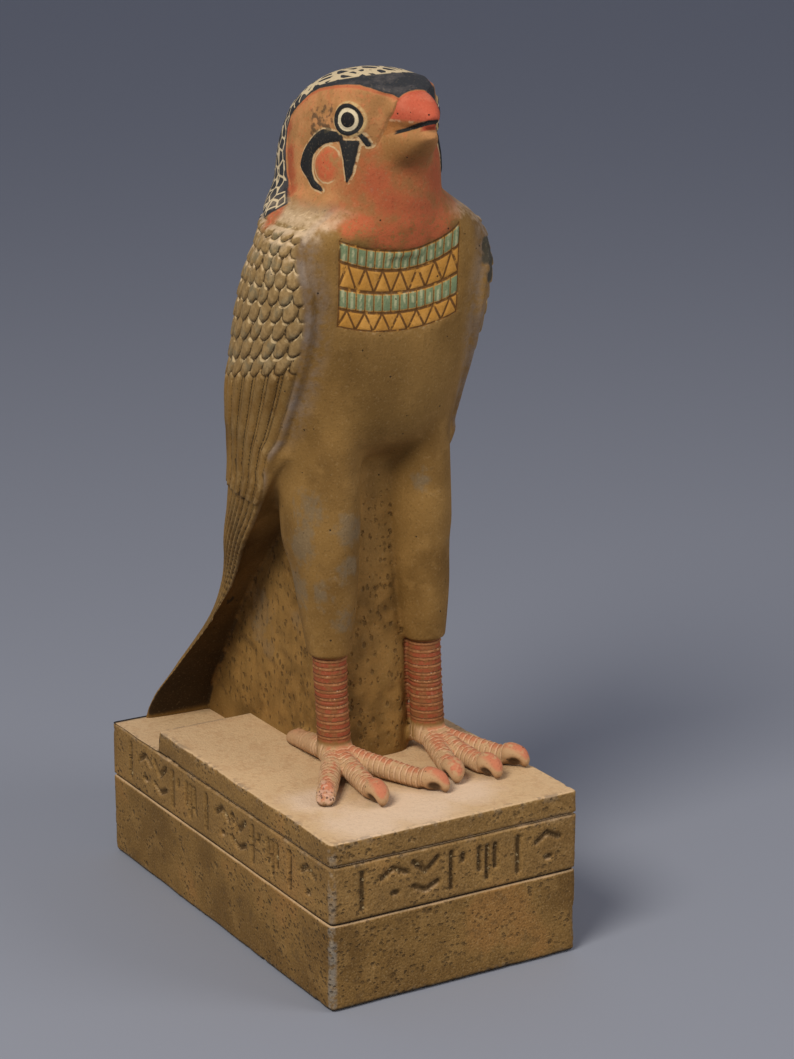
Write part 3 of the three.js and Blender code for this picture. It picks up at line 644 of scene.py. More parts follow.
def outline_distance(y, z, corners):
    """Distance to a closed outline on the side, negative within it."""
    closed = [*corners, corners[0]]
    inside = np.zeros(len(y), bool)
    for (ay, az), (by, bz) in zip(closed[:-1], closed[1:]):
        crosses = (az > z) != (bz > z)
        inside ^= crosses & (y < (by - ay) * (z - az) / (bz - az + 1e-12) + ay)
    away = line_distance(y, z, closed)
    return np.where(inside, -away, away)


def wing_place(points):
    """Distance behind the wing's front edge in mm, share of the way to the back's middle, and the height of
    the feather's course at the wing's edge."""
    x, y, z = points.T
    middle, half, front, back, square_front, square_back = through(TRUNK, z).T
    away = np.clip(np.abs(x) / half, 0, 1)
    near = middle + (front - middle) * (1 - away ** square_front) ** (1 / square_front)
    far = middle + (back - middle) * (1 - away ** square_back) ** (1 / square_back)
    turn = np.where(y > (near + far) / 2, 1, -1)
    square = np.where(turn > 0, square_back, square_front)
    end = np.where(turn > 0, back, front)
    across = (np.abs(x) / half) ** (square / 2)
    along = np.abs((y - middle) / (end - middle)) ** (square / 2)
    edge = arc_at(z, edge_angle(z))
    behind = arc_at(z, turn * np.arctan2(along, across)) - edge
    share = behind / (arc_at(z, np.full(len(z), math.pi / 2)) - edge)
    course = z.copy()
    for _ in range(5):
        course = z + np.clip(share, 0, 1) * np.interp(course, *DROPS)
    return behind, share, course


def column_at(share):
    """Share of the columns from the front, where columns widen towards the back."""
    share = np.clip(share, 0, 1)
    first = 1 - COLUMN_GROWTH
    return (np.sqrt(first ** 2 + 4 * COLUMN_GROWTH * share) - first) / (2 * COLUMN_GROWTH)


def feather_fields(points):
    """Coordinates of the plumage: how much a point is wing, scale columns and rows, feather columns."""
    behind, share, course = wing_place(points)
    z = points[:, 2]
    total = behind / np.where(np.abs(share) > 1e-6, share, 1)
    band = LEADING_BAND + FAR_BAND * (points[:, 0] > 0)
    inner = (behind - band * smooth(z, 90, 120)) / (total - band)
    column = column_at(inner)
    up = np.clip((course - SCALES_FROM) / (SCALES_TO - SCALES_FROM), -0.2, 1.2)
    first = 1 + ROW_GROWTH / 2
    row = SCALE_ROWS * (first - np.sqrt(first ** 2 - 2 * ROW_GROWTH * up)) / ROW_GROWTH
    wing = smooth(behind, 0, 1.2) * smooth(206 - z, 0, 6)
    return {
        "wing": wing, "covered": smooth(inner, -0.012, 0.012) * wing, "behind": behind, "course": course,
        "scale_u": column * SCALE_COLUMNS + 0.22 * row, "scale_v": row,
        "feather_u": column * FEATHER_COLUMNS,
    }


def scale_tip(u, v, row):
    """Place across a row's scale, from -0.5 to 0.5, and how far a point lies above its round lower end."""
    off = u - 0.5 * (row % 2)
    across = off - np.round(off)
    return across, v - row + SCALE_HANG * arch(across, 0, 0.5)


def scale_relief(u, v):
    """Height of the scales that lie like tiles, each with a round end that hangs over the row below."""
    above = np.floor(v) + 1
    across_above, over = scale_tip(u, v, above)
    across_own, reach = scale_tip(u, v, above - 1)
    on_above = over > 0
    across = np.abs(np.where(on_above, across_above, across_own))
    length = np.where(on_above, over, reach)
    slope = 4 * SCALE_HANG * across / np.sqrt(np.clip(1 - 4 * across ** 2, 0.1, 1))
    slope = slope * SCALE_HEIGHT / SCALE_WIDTH
    from_tip = length * SCALE_HEIGHT / np.sqrt(1 + np.minimum(slope, 2) ** 2)
    tile = smooth(from_tip, 0, 1.2) * (0.25 + 0.75 * smooth((0.5 - across) * SCALE_WIDTH, 0, 1.4))
    under = np.where(on_above, 9, -over * SCALE_HEIGHT)
    return tile * (1 - 0.45 * smooth(length, 0.3, 1.5)) - 0.35 * bump_of(under, 0, 0.6)


def strip_relief(u):
    """Height across long feathers: a wide rounded band, then a narrow ridge, with grooves between."""
    return np.maximum(arch(part_of(u), 0.4, 0.38), 0.55 * arch(part_of(u), 0.89, 0.1))


def feather_end(u):
    """Height of the long feathers' round lower ends, where the last tier starts below them."""
    return LAST_TIER + np.where(part_of(u) < 0.8, 2.8 * (1 - arch(part_of(u), 0.4, 0.42)), 2.4)


def plumage_relief(points):
    """Height of the feathers about the plumage's even coat."""
    field = feather_fields(points)
    course, u, v = field["course"], field["scale_u"], field["scale_v"]
    scales = 1.2 * scale_relief(u, v) - 0.55
    own = smooth(scale_tip(u, v, 0)[1], -0.03, 0.08)
    u = field["feather_u"]
    step = smooth(course - feather_end(u), -0.3, 0.5)
    feathers = (1.4 * strip_relief(u) - 0.75) * step + (strip_relief(LOWER_FEATHERS * u) - 1) * (1 - step)
    relief = (scales * own + feathers * (1 - own)) * smooth(SCALES_TO + 1 - course, 0, 1)
    thin = 0.35 + 0.65 * smooth(points[:, 2], 25, 75)
    return (relief * thin - 0.5 * bump_of(course, SCALES_TO + 2, 0.6)) * field["covered"]


def collar_fields(points):
    """Collar coordinates: share of the way to its side, level from its top line down, and how much a point
    faces the front."""
    x, y, z = points.T
    share = (x - COLLAR_MIDDLE) / COLLAR_HALF_WIDTH
    across = np.clip(np.abs(share), 0, 1.15) ** 2
    lift = np.clip(share, 0, 1.15) ** 3
    lines = [middle + (side - middle) * across + more * lift for middle, side, more in COLLAR_LINES]
    level = np.zeros(len(z))
    for i in range(4):
        t = (lines[i] - z) / (lines[i] - lines[i + 1])
        level += np.clip(t, -1 if i == 0 else 0, 2 if i == 3 else 1)
    return share, level, smooth(-20 - y, 0, 5)


def collar_relief(points):
    """Height of the collar's beads and triangles, with the lines cut between them."""
    share, level, front = collar_fields(points)
    x = share * COLLAR_HALF_WIDTH
    within = smooth(COLLAR_HALF_WIDTH + 0.4 - np.abs(x), 0, 0.6)
    within *= smooth(level, -0.08, 0) * (1 - smooth(level, 4, 4.08))
    lines = bump_of(np.abs(level - np.round(level)) * COLLAR_ROW, 0, 0.55)
    lines = np.maximum(lines, bump_of(np.abs(x), COLLAR_HALF_WIDTH, 0.5))
    row = np.clip(np.floor(level), 0, 3)
    beads = 0.35 * arch(from_middle((share + 1) / 2 * COLLAR_BEADS), 0, 1) - 0.3
    tooth = from_middle((share + 1) / 2 * COLLAR_TRIANGLES)
    teeth = -0.35 * bump_of(np.abs((level - row) - tooth) * 3, 0, 0.5)
    return front * within * (np.where(row % 2 == 0, beads, teeth) - 0.45 * lines)


def face_fields(points):
    """Distances in mm to the edges of the cap, the dark marks, the cheek and the lines of the face."""
    y, z = points[:, 1:].T
    cap = outline_distance(y, z, CAP)
    crescent = [*rounded(CRESCENT_OUTER, 3), *rounded(CRESCENT_INNER, 3)]
    marks = np.minimum(outline_distance(y, z, WEDGE), outline_distance(y, z, crescent))
    cere = rounded(CERE, 3)
    return {
        "cap": cap, "marks": np.minimum(marks, line_distance(y, z, TEAR) - 0.45),
        "cheek": outline_distance(y, z, rounded(CHEEK, 3)), "cere": line_distance(y, z, cere),
        "beak": outline_distance(y, z, [*cere, *BEAK_END]),
        "net": -cap - np.interp(-y, [8, 25, 42], [0.3, 1.8, 4.6]),
    }


def face_relief(points):
    """Height of the cap, the eyes and the marks on the sides of the head."""
    x, y, z = points.T
    field = face_fields(points)
    radius = np.hypot((y - EYE[0]) / 1.02, (z - EYE[1]) / 1.06)
    eye = np.interp(radius, *EYE_HEIGHTS)
    cap = 0.6 * smooth(-field["cap"], -0.5, 0.4) - 0.25 * bump_of(field["cap"], 0.8, 0.5)
    raised = 0.45 * smooth(-field["marks"], -0.4, 0.5) - 0.3 * bump_of(field["marks"], 0.9, 0.5)
    raised += 0.5 * smooth(-field["cheek"], -0.2, 2.5)
    cere = -0.45 * bump_of(field["cere"], 0, 0.6) * smooth(-38 - y, -1, 1)
    mouth = -0.6 * bump_of(line_distance(y, z, MOUTH), 0, 0.6) * smooth(-44 - y, -1, 2)
    side = smooth(np.abs(x), 5, 8) * (np.where(radius < EYE_EDGE, eye, raised) + cere)
    return smooth(z, NECK, NECK + 4) * (cap + mouth + side)


def undulation(points, seed, reach):
    """Slow random swell of a hand-finished surface, about -1 to 1."""
    random = np.random.default_rng(seed)
    total = np.zeros(len(points))
    for _ in range(14):
        wave = random.normal(size=3) / reach
        total += np.sin(points @ wave + random.uniform(0, 2 * math.pi))
    return total / 6


def patches(points, places):
    """Soft round patches about places on the surface, each x, y, z and reach, from 0 to 1."""
    total = np.zeros(len(points))
    for x, y, z, reach in places:
        total = np.maximum(total, np.exp(-((points - (x, y, z)) ** 2).sum(axis=1) / reach ** 2))
    return total


def falcon_skin():
    """The falcon as one skin with its relief, as points and quads."""
    shapes = [trunk(), head(), web(), *beak()]
    for side in (-1, 1):
        shapes += [brow(side), thigh(side), shank(side), *[toe(*spec) for spec in TOES if spec[0] == side]]
    points, quads = fused(shapes)
    even = np.full(len(points), 0.5)
    points = eased(points, quads, even, 3)
    points = eased(points, quads, junctions(points) * 0.6, 130)
    normal = outward(eased(points, quads, even, 4), quads)
    relief = plumage_relief(points) + collar_relief(points) + face_relief(points) + ring_relief(points)
    relief += 0.16 * undulation(points, 3, 6) * smooth(points[:, 2], 2, 12)
    relief += 0.35 * undulation(points * (1, 1, 0.6), 4, 1.3) * on_web(points)
    worn_toe = patches(points, PATCHES["broken"])
    relief -= 1.1 * np.clip(0.3 + undulation(points, 8, 0.9), 0, 1) * worn_toe
    return points + normal * relief[:, None], quads


def thinned(piece, wanted):
    """A piece drawn in no more than a wanted number of triangles."""
    triangles = sum(len(face.vertices) - 2 for face in piece.data.polygons)
    modifier = piece.modifiers.new("thin", "DECIMATE")
    modifier.ratio = min(1, wanted / triangles)
    mesh = shaped_mesh(piece)
    piece.modifiers.clear()
    rough, piece.data = piece.data, mesh
    bpy.data.meshes.remove(rough)
    mesh.name = piece.name
    return piece


def mark_lines(length, marks):
    """Lines of the inscribed course of one face, as place along the face and height."""
    low = LOWER_COURSE + STROKE_MARGIN
    tall = INSCRIBED_COURSE - 2 * STROKE_MARGIN
    count = int((length - STROKE_PITCH) / STROKE_PITCH)
    lines = []
    for cell in range(count):
        middle = (cell - (count - 1) / 2) * STROKE_PITCH
        for line in marks[cell * 3 % len(marks)]:
            lines.append([(middle + x * STROKE_PITCH * 0.42, low + z * tall) for x, z in line])
    return lines


def mark_distance(points):
    """Distance in mm to the nearest mark of the inscribed course."""
    x, y, z = points.T
    half, end = PLINTH_WIDTH / 2, PLINTH_DEPTH / 2
    distance = np.full(len(x), 9.0)
    course = (z > LOWER_COURSE + 1) & (z < LEDGE_TOP - 1)
    faces = [(y < -end + 1.6, x, PLINTH_WIDTH, MARKS), (x < -half + 1.6, -y, PLINTH_DEPTH, MARKS),
             (x > half - 1.6, y, PLINTH_DEPTH, MARKS[:1])]
    for on_face, along, length, marks in faces:
        near = on_face & course
        for line in mark_lines(length, marks):
            distance[near] = np.minimum(distance[near], line_distance(along[near], z[near], line))
    return distance


def edge_distance(points):
    """Distance in mm to the nearest outer edge of the plinth, upright or level."""
    x, y, z = points.T
    end = np.where(z > LEDGE_TOP + 0.3, PLINTH_DEPTH / 2 - REAR_LEDGE, PLINTH_DEPTH / 2)
    across = PLINTH_WIDTH / 2 - np.abs(x)
    along = np.minimum(y + PLINTH_DEPTH / 2, end - y)
    level = np.minimum(np.abs(z - LEDGE_TOP) + 0.6, np.minimum(z, SLAB_TOP - z))
    outer = np.maximum(np.minimum(across, along), 0)
    return np.minimum(np.hypot(across, along), np.hypot(level, outer))


def plinth_outline(back):
    """Places around the plinth with round corners, and the way out at each, for a rear end."""
    half, front = PLINTH_WIDTH / 2 - CORNER_WEAR, -PLINTH_DEPTH / 2 + CORNER_WEAR
    back -= CORNER_WEAR
    corners = [(half, back), (-half, back), (-half, front), (half, front)]
    places, ways = [], []
    for i, corner in enumerate(corners):
        turn = math.pi / 2 * (i + np.linspace(0, 1, 5))
        way = np.column_stack([np.cos(turn), np.sin(turn)])
        arc = np.array(corner) + CORNER_WEAR * way
        after = np.array(corners[(i + 1) % 4]) + CORNER_WEAR * way[-1]
        count = 112 if i % 2 == 0 else 194
        share = np.arange(1, count)[:, None] / count
        places += [arc, arc[-1] + (after - arc[-1]) * share]
        ways += [way, np.repeat(way[-1:], count - 1, axis=0)]
    return np.concatenate(places), np.concatenate(ways)


def round_edge(reach, height):
    """How far a round edge of a reach draws the outline in, at a height from its end."""
    return reach - math.sqrt(max(reach ** 2 - (reach - height) ** 2, 0))


def plinth_levels():
    """Rings of the plinth from the bottom up: height, rear end and how far the edge wear draws it in."""
    rear, slab_rear = PLINTH_DEPTH / 2, PLINTH_DEPTH / 2 - REAR_LEDGE
    g = GROOVE_WIDTH / 2
    rings = [(z, rear, round_edge(BOTTOM_EDGE_WEAR, z)) for z in (0, 0.2, 0.5, 0.9, 1.3, 1.8)]
    rings += [(z, rear, 0) for z in np.arange(2.6, LOWER_COURSE - g, 0.83)]
    rings += [(LOWER_COURSE + step * g, rear, 0) for step in (-1, -0.5, 0, 0.5, 1)]
    rings += [(z, rear, 0) for z in np.arange(LOWER_COURSE + 1.6, LEDGE_TOP - g - 0.3, 0.62)]
    rings += [(LEDGE_TOP - g, rear, 0), (LEDGE_TOP - g / 2, rear, 0.3)]
    rings += [(LEDGE_TOP - 0.2 + 0.4 * t, rear - t * REAR_LEDGE, 0) for t in np.linspace(0, 1, 14)]
    rings += [(LEDGE_TOP + g / 2, slab_rear, 0), (LEDGE_TOP + g, slab_rear, 0)]
    rings += [(z, slab_rear, 0) for z in np.arange(LEDGE_TOP + 1.5, SLAB_TOP - SLAB_EDGE_WEAR - 0.2, 0.72)]
    rings += [(SLAB_TOP - h, slab_rear, round_edge(SLAB_EDGE_WEAR, h)) for h in (0.9, 0.55, 0.3, 0.12, 0)]
    return rings


def plinth_skin():
    """The plinth as one closed skin with its grooves, marks and wear."""
    rings = []
    for z, back, inset in plinth_levels():
        place, way = plinth_outline(back)
        points = np.column_stack([place, np.full(len(place), z)])
        groove = min(abs(z - LOWER_COURSE), abs(z - LEDGE_TOP))
        notch = GROOVE_DEPTH * max(1 - groove / (GROOVE_WIDTH / 2), 0)
        on_back = np.abs(place[:, 1] - back) < CORNER_WEAR
        drawn = np.where(on_back & (z > LEDGE_TOP - 0.3), 0, notch) + inset
        drawn += STROKE_DEPTH * (1 - smooth(mark_distance(points), 0.45, 1.5))
        near = edge_distance(points)
        drawn += np.clip(0.1 + 0.1 * undulation(points, 5, 5), 0, 0.3)
        drawn += 0.8 * np.clip(undulation(points, 6, 1.1) - 0.35, 0, 1) * bump_of(near, 0, 1.6)
        drawn += 0.5 * np.clip(undulation(points, 7, 5), 0, 1) * bump_of(near, 0, 3)
        points[:, :2] -= way * drawn[:, None]
        rings.append(points)
    lids = []
    for ring in (rings[0], rings[-1]):
        centre = ring.mean(axis=0)
        lids.append([ring * (1 - t) + centre * t for t in (0.02, 0.05, 0.1, 0.2, 0.35, 0.55, 0.8)])
    return loft(np.array(lids[0][::-1] + rings + lids[1]))


def hollow_at(mesh):
    """How deep each point of a mesh lies below its surroundings, in mm, negative on crests."""
    points = numbers(mesh.vertices, "co", 3) * 1000
    edges = numbers(mesh.edges, "vertices", 2, int)
    starts = np.concatenate([edges[:, 0], edges[:, 1]])
    ends = np.concatenate([edges[:, 1], edges[:, 0]])
    mean = points
    for _ in range(5):
        mean = 0.5 * mean + 0.5 * neighbour_mean(mean, starts, ends)
    return ((mean - points) * numbers(mesh.vertices, "normal", 3)).sum(axis=1)


def store(mesh, fields):
    """Keep named numbers for each point of a mesh, with how hollow it is there."""
    for name, values in {"hollow": hollow_at(mesh), **fields}.items():
        attribute = mesh.attributes.new(name, "FLOAT", "POINT")
        attribute.data.foreach_set("value", np.asarray(values, np.float32))


def plinth():
    """The plinth with what its paint needs to know."""
    points, faces = plinth_skin()
    piece = skin_object("plinth", points / 1000, faces)
    piece.data.shade_smooth()
    at = numbers(piece.data.vertices, "co", 3) * 1000
    fields = {"mark": mark_distance(at), "edge": edge_distance(at), "pale": patches(at, PALE_PATCHES)}
    store(piece.data, fields)
    return piece


def falcon():
    """The falcon with what its paint needs to know."""
    points, quads = falcon_skin()
    origin = (FALCON_OFFSET, 0, SLAB_TOP)
    piece = skin_object("falcon", (points + origin) / 1000, quads.tolist())
    piece.data.shade_smooth()
    mesh = thinned(piece, FALCON_TRIANGLES).data
    at = numbers(mesh.vertices, "co", 3) * 1000 - origin
    fields = {**face_fields(at), **feather_fields(at), "shank": on_shank(at), "web": on_web(at)}
    fields.update(zip(("toe_along", "toe_aside", "toe_left", "beside_claw"), toe_fields(at)))
    fields.update(zip(("collar_share", "collar_level", "collar_front"), collar_fields(at)))
    fields.update({name: patches(at, places) for name, places in PATCHES.items()})
    store(mesh, fields)
    return piece


def camera():
    """Camera before the figure's right side, looking a little down."""
    data = bpy.data.cameras.new("camera")
    data.sensor_width = CAMERA_SENSOR
    data.lens = CAMERA_LENS
    data.clip_start = 0.05
    piece = added("camera", data)
    piece.location = CAMERA_PLACE
    piece.rotation_euler = (math.radians(90 - CAMERA_PITCH), 0, math.radians(-CAMERA_YAW))
    bpy.context.scene.camera = piece


def lamp(name, place, size, watts, colour):
    """Round soft light that faces the figure."""
    data = bpy.data.lights.new(name, "AREA")
    data.shape = "DISK"
    data.size = size
    data.energy = watts
    data.color = colour
    piece = added(name, data)
    piece.location = place
    piece.rotation_euler = (Vector((0, 0, 0.15)) - Vector(place)).to_track_quat("-Z", "Y").to_euler()


def surround():
    """Dim even light from all sides."""
    world = bpy.data.worlds.new("studio")
    world.use_nodes = True
    background = world.node_tree.nodes["Background"]
    background.inputs["Color"].default_value = (0.58, 0.61, 0.74, 1)
    background.inputs["Strength"].default_value = 0.4
    bpy.context.scene.world = world
    bpy.context.scene.view_settings.view_transform = "Standard"


def floor():
    """Plain floor just under the plinth."""
    bpy.ops.mesh.primitive_plane_add(size=FLOOR_SIZE, location=(0, 0, -FLOOR_GAP))
    piece = bpy.context.object
    piece.name = "floor"
    material = bpy.data.materials.new("pale_floor")
    material.use_nodes = True
    shader = material.node_tree.nodes["Principled BSDF"]
    shader.inputs["Base Color"].default_value = (0.25, 0.262, 0.305, 1)
    shader.inputs["Roughness"].default_value = 0.7
    piece.data.materials.append(material)
    return piece


def tone(colour):
    """A displayed colour, each value from 0 to 255, as the shader takes it."""
    linear = [(v / 255 / 12.92 if v < 11 else ((v / 255 + 0.055) / 1.055) ** 2.4) for v in colour]
    return (*linear, 1)


def plug(tree, socket, value):
    """Set a socket to a number or colour, or link a field to it."""
    if isinstance(value, Field):
        tree.links.new(value.socket, socket)
    else:
        socket.default_value = value


def made(tree, kind, values, output=0, **settings):
    """A field from a new shader node, with values for its sockets and settings of its own."""
    node = tree.nodes.new(kind)
    for name, value in settings.items():
        setattr(node, name, value)
    for place, value in values.items():
        plug(tree, node.inputs[place], value)
    return Field(tree, node.outputs[output])


class Field:
    """A number, place or colour that varies over a surface, made of shader nodes."""

    def __init__(self, tree, socket):
        self.tree = tree
        self.socket = socket

    def math(self, operation, *others):
        """Field worked out from this one and others."""
        return made(self.tree, "ShaderNodeMath", dict(enumerate((self, *others))), operation=operation)

    __add__ = partialmethod(math, "ADD")
    __sub__ = partialmethod(math, "SUBTRACT")
    __mul__ = partialmethod(math, "MULTIPLY")
    __truediv__ = partialmethod(math, "DIVIDE")
    away = partialmethod(math, "ABSOLUTE")
    upper = partialmethod(math, "MAXIMUM")
    lower = partialmethod(math, "MINIMUM")

    def rest(self):
        """What is left of 1."""
        return self * -1 + 1

    def part(self):
        """Place within a repeat, from 0 to 1."""
        return self - self.math("FLOOR")

    def from_middle(self):
        """0 in the middle of a repeat, 1 at its ends."""
        return (self.part() - 0.5).away() * 2

    def step(self, low, high):
        """0 before low and 1 after high, or the other way round where low is the larger."""
        return made(self.tree, "ShaderNodeMapRange", {"Value": self, "From Min": low, "From Max": high},
                    "Result", interpolation_type="SMOOTHSTEP")

    def band(self, low, high, soft=0.05):
        """1 from low to high, with soft ends."""
        return self.step(low - soft, low + soft) * self.step(high + soft, high - soft)


def from_centre(across, along):
    """Distance from the point where both fields are zero."""
    return (across * across + along * along).math("SQRT")


class Paint:
    """A material whose colour is laid on coat by coat."""

    def __init__(self, name, first):
        self.material = bpy.data.materials.new(name)
        self.material.use_nodes = True
        self.tree = self.material.node_tree
        self.colour = tone(first)
        place = self.made("ShaderNodeTexCoord", {}, "Object")
        self.place = self.made("ShaderNodeVectorMath", {0: place, "Scale": 1000}, operation="SCALE")

    def made(self, kind, values, output=0, **settings):
        """Field from a new node of this material."""
        return made(self.tree, kind, values, output, **settings)

    def moved(self, shift, stretch=(1, 1, 1)):
        """Place on the surface in mm, moved and stretched."""
        return self.made("ShaderNodeMapping", {"Vector": self.place, "Location": shift, "Scale": stretch})

    def noise(self, size, detail, shift):
        """Cloudy noise from 0 to 1 with lumps of a size in mm."""
        place = self.moved((shift, 2 * shift, -shift))
        return self.made("ShaderNodeTexNoise", {"Vector": place, "Scale": 1 / size, "Detail": detail}, "Fac")

    def cells(self, size, stretch=(1, 1, 1), shift=0, feature="F1"):
        """Distance within cells of a size in mm."""
        values = {"Vector": self.moved((shift, -shift, shift), stretch), "Scale": 1 / size}
        return self.made("ShaderNodeTexVoronoi", values, "Distance", feature=feature)

    def stored(self, name):
        """Numbers kept with the mesh."""
        return self.made("ShaderNodeAttribute", {}, "Fac", attribute_name=name)

    def axes(self, place):
        """The three parts of a place or a way."""
        return [self.made("ShaderNodeSeparateXYZ", {0: place}, axis) for axis in "XYZ"]

    def facing_up(self):
        """Upward part of the way out of the surface."""
        return self.axes(self.made("ShaderNodeNewGeometry", {}, "Normal"))[2]

    def coat(self, share, colour):
        """Lay a colour over what is there, by a share from 0 to 1."""
        values = {0: share, MIX_BELOW: self.colour, MIX_ABOVE: tone(colour)}
        self.colour = self.made("ShaderNodeMix", values, MIX_RESULT, data_type="RGBA")

    def finish(self, height, depth, roughness):
        """Join the colour, the fine relief, whose depth is in mm, and the roughness to the shader."""
        values = {"Strength": 1, "Distance": depth / 1000, "Height": height}
        values = {
            "Base Color": self.colour, "Roughness": roughness, "Specular IOR Level": 0.25,
            "Normal": self.made("ShaderNodeBump", values),
        }
        for name, value in values.items():
            plug(self.tree, self.tree.nodes["Principled BSDF"].inputs[name], value)
        return self.material


def falcon_paint():
    """Ochre stone with worn paint, dust and soot, and painted shade under the tail and in its hollows."""
    paint = Paint("painted_stone", (106, 76, 32))
    coat, stored = paint.coat, paint.stored
    across, y, z = paint.axes(paint.place)
    across = across - FALCON_OFFSET
    z = z - SLAB_TOP
    broad, lumps = paint.noise(28, 3, 0), paint.noise(7, 4, 30)
    worn, grain = paint.noise(2.2, 4, 60), paint.noise(0.8, 3, 90)
    both = lumps + worn
    up = paint.facing_up()
    coat(broad.step(0.35, 0.65), (134, 100, 50))
    coat(lumps.step(0.52, 0.7) * 0.35, (150, 114, 62))
    coat(z.step(196, 120) * z.step(60, 120) * y.step(-30, -36) * 0.45, (92, 68, 28))
    head_coats(paint, y, z, lumps, worn)
    wing_coats(paint, lumps, worn)
    leg_coats(paint, y, z, lumps, worn, up)
    brink = stored("behind").step(-8, -1) * stored("behind").step(4, 1.5)
    coat(brink * z.step(112, 135) * z.step(200, 190) * both.step(0.7, 1.2) * 0.5, (124, 110, 98))
    red = (stored("red") + (lumps - 0.5) * 0.6).step(0.15, 0.85)
    coat(red * ((grain + worn) * 0.5).step(0.3, 0.55) * 0.85, (188, 94, 58))
    coat(red * z.step(197, 205) * 0.65, (140, 70, 40))
    collar_coats(paint, lumps, worn)
    face_coats(paint, across.away().step(5, 8), y, z, lumps, worn)
    coat(across.step(3, 4.5) * y.step(-34, -37) * z.step(235.5, 237.5), CAP_COLOUR)
    coat((stored("grey") + (both - 1) * 1.2).step(0.3, 0.9) * 0.5, (108, 98, 80))
    coat((stored("dark") + (lumps - 0.5) * 1.2).step(0.45, 0.7) * 0.85, (44, 46, 38))
    dust = (up + (both - 1) * 0.8).step(0.3, 1) * (z + (lumps - 0.5) * 8).step(205, 198) * red.rest()
    dust = dust * (stored("covered") * z.step(100, 80) * 0.8).rest()
    coat(dust * z.step(14, 30) * 0.7, (216, 188, 154))
    # Soot and painted shade on the downward faces under the tail, darkest near the slab
    under = up.step(-0.02, -0.3) * y.step(8, 20) * z.step(100, 85)
    coat(under * (z.step(60, 5) * 0.45 + 0.42), (26, 17, 8))
    web_pits = paint.cells(2.6, (1.1, 1.1, 0.7), 15).step(0.42, 0.2) * worn.step(0.44, 0.56) * stored("web")
    coat(stored("web") * lumps.step(0.42, 0.6) * 0.5, (144, 106, 52))
    coat(web_pits * 0.5, (66, 46, 20))
    coat(grain.step(0.55, 0.75) * 0.3, SOIL_AND_SHADE)
    coat(grain.step(0.42, 0.3) * 0.08, GRIT)
    pits = paint.cells(4.5).step(0.1, 0.06) * worn.step(0.5, 0.56)
    coat(pits * 0.85, (34, 24, 12))
    height = grain * 0.5 + worn * 0.4 - pits - web_pits * 1.5
    return paint.finish(height, 0.25, grain * 0.2 + 0.68)


def head_coats(paint, y, z, lumps, worn):
    """Lighter, warmer ground of the head and neck."""
    both = lumps + worn
    head = (z + (lumps - 0.5) * 8).step(NECK, NECK + 8)
    paint.coat(head * 0.9, (162, 114, 68))
    paint.coat(head * lumps.step(0.4, 0.62) * 0.7, (184, 128, 80))
    paint.coat(head * worn.step(0.5, 0.7) * 0.4, (188, 106, 64))
    throat = y.step(-24, -36) * z.step(228, 221) * head
    paint.coat(throat * 0.72, (130, 78, 40))
    paint.coat(throat * both.step(0.9, 1.15) * 0.5, (164, 84, 46))
    paint.coat(paint.stored("cap").step(8, 0.5) * head * both.step(0.85, 1.2) * 0.3, (196, 118, 78))


def wing_coats(paint, lumps, worn):
    """Scales and feathers: dirt and painted shade in the grooves, light on the crests."""
    coat, stored = paint.coat, paint.stored
    covered, course, hollow = stored("covered"), stored("course"), stored("hollow")
    scaly = course.step(146, 153) * covered
    long_ones = course.step(153, 146) * covered
    coat(stored("wing") * covered.rest() * lumps.step(0.3, 0.6) * 0.6, (116, 104, 96))
    coat(scaly * 0.8, (136, 110, 70))
    coat(scaly * lumps.step(0.5, 0.66) * 0.6, (110, 104, 82))
    coat(long_ones * lumps.step(0.4, 0.6) * 0.6, (122, 94, 50))
    coat(covered * hollow.step(-0.05, -0.3) * worn.step(0.4, 0.6) * 0.45, (176, 144, 96))
    part = (stored("feather_u") * (course.step(LAST_TIER + 1, LAST_TIER) * (LOWER_FEATHERS - 1) + 1)).part()
    # Dark lines in the long feathers' grooves: dirt and painted shade
    groove = (part - 0.68).away().step(0.07, 0.03).upper((part - 0.48).away().step(0.44, 0.5))
    coat(long_ones * groove * worn.step(0.3, 0.5) * 0.75, (62, 48, 18))
    # Dirt and painted shade in the plumage's hollows
    coat(covered * hollow.step(0.03, 0.22) * worn.step(0.25, 0.4) * 0.85, SOIL_AND_SHADE)
    v = stored("scale_v")
    row = v.math("FLOOR")
    off = stored("scale_u") - (row + 1).math("PINGPONG", 1) * 0.5
    side = off - off.math("ROUND")
    under = v - row - 1 + (side * side * -4 + 1).upper(0).math("SQRT") * SCALE_HANG
    fringe = under.step(-0.14, -0.08) * under.step(0.04, -0.01)
    coat(scaly * fringe * (lumps + worn).step(0.9, 1.1) * 0.75, (204, 176, 130))


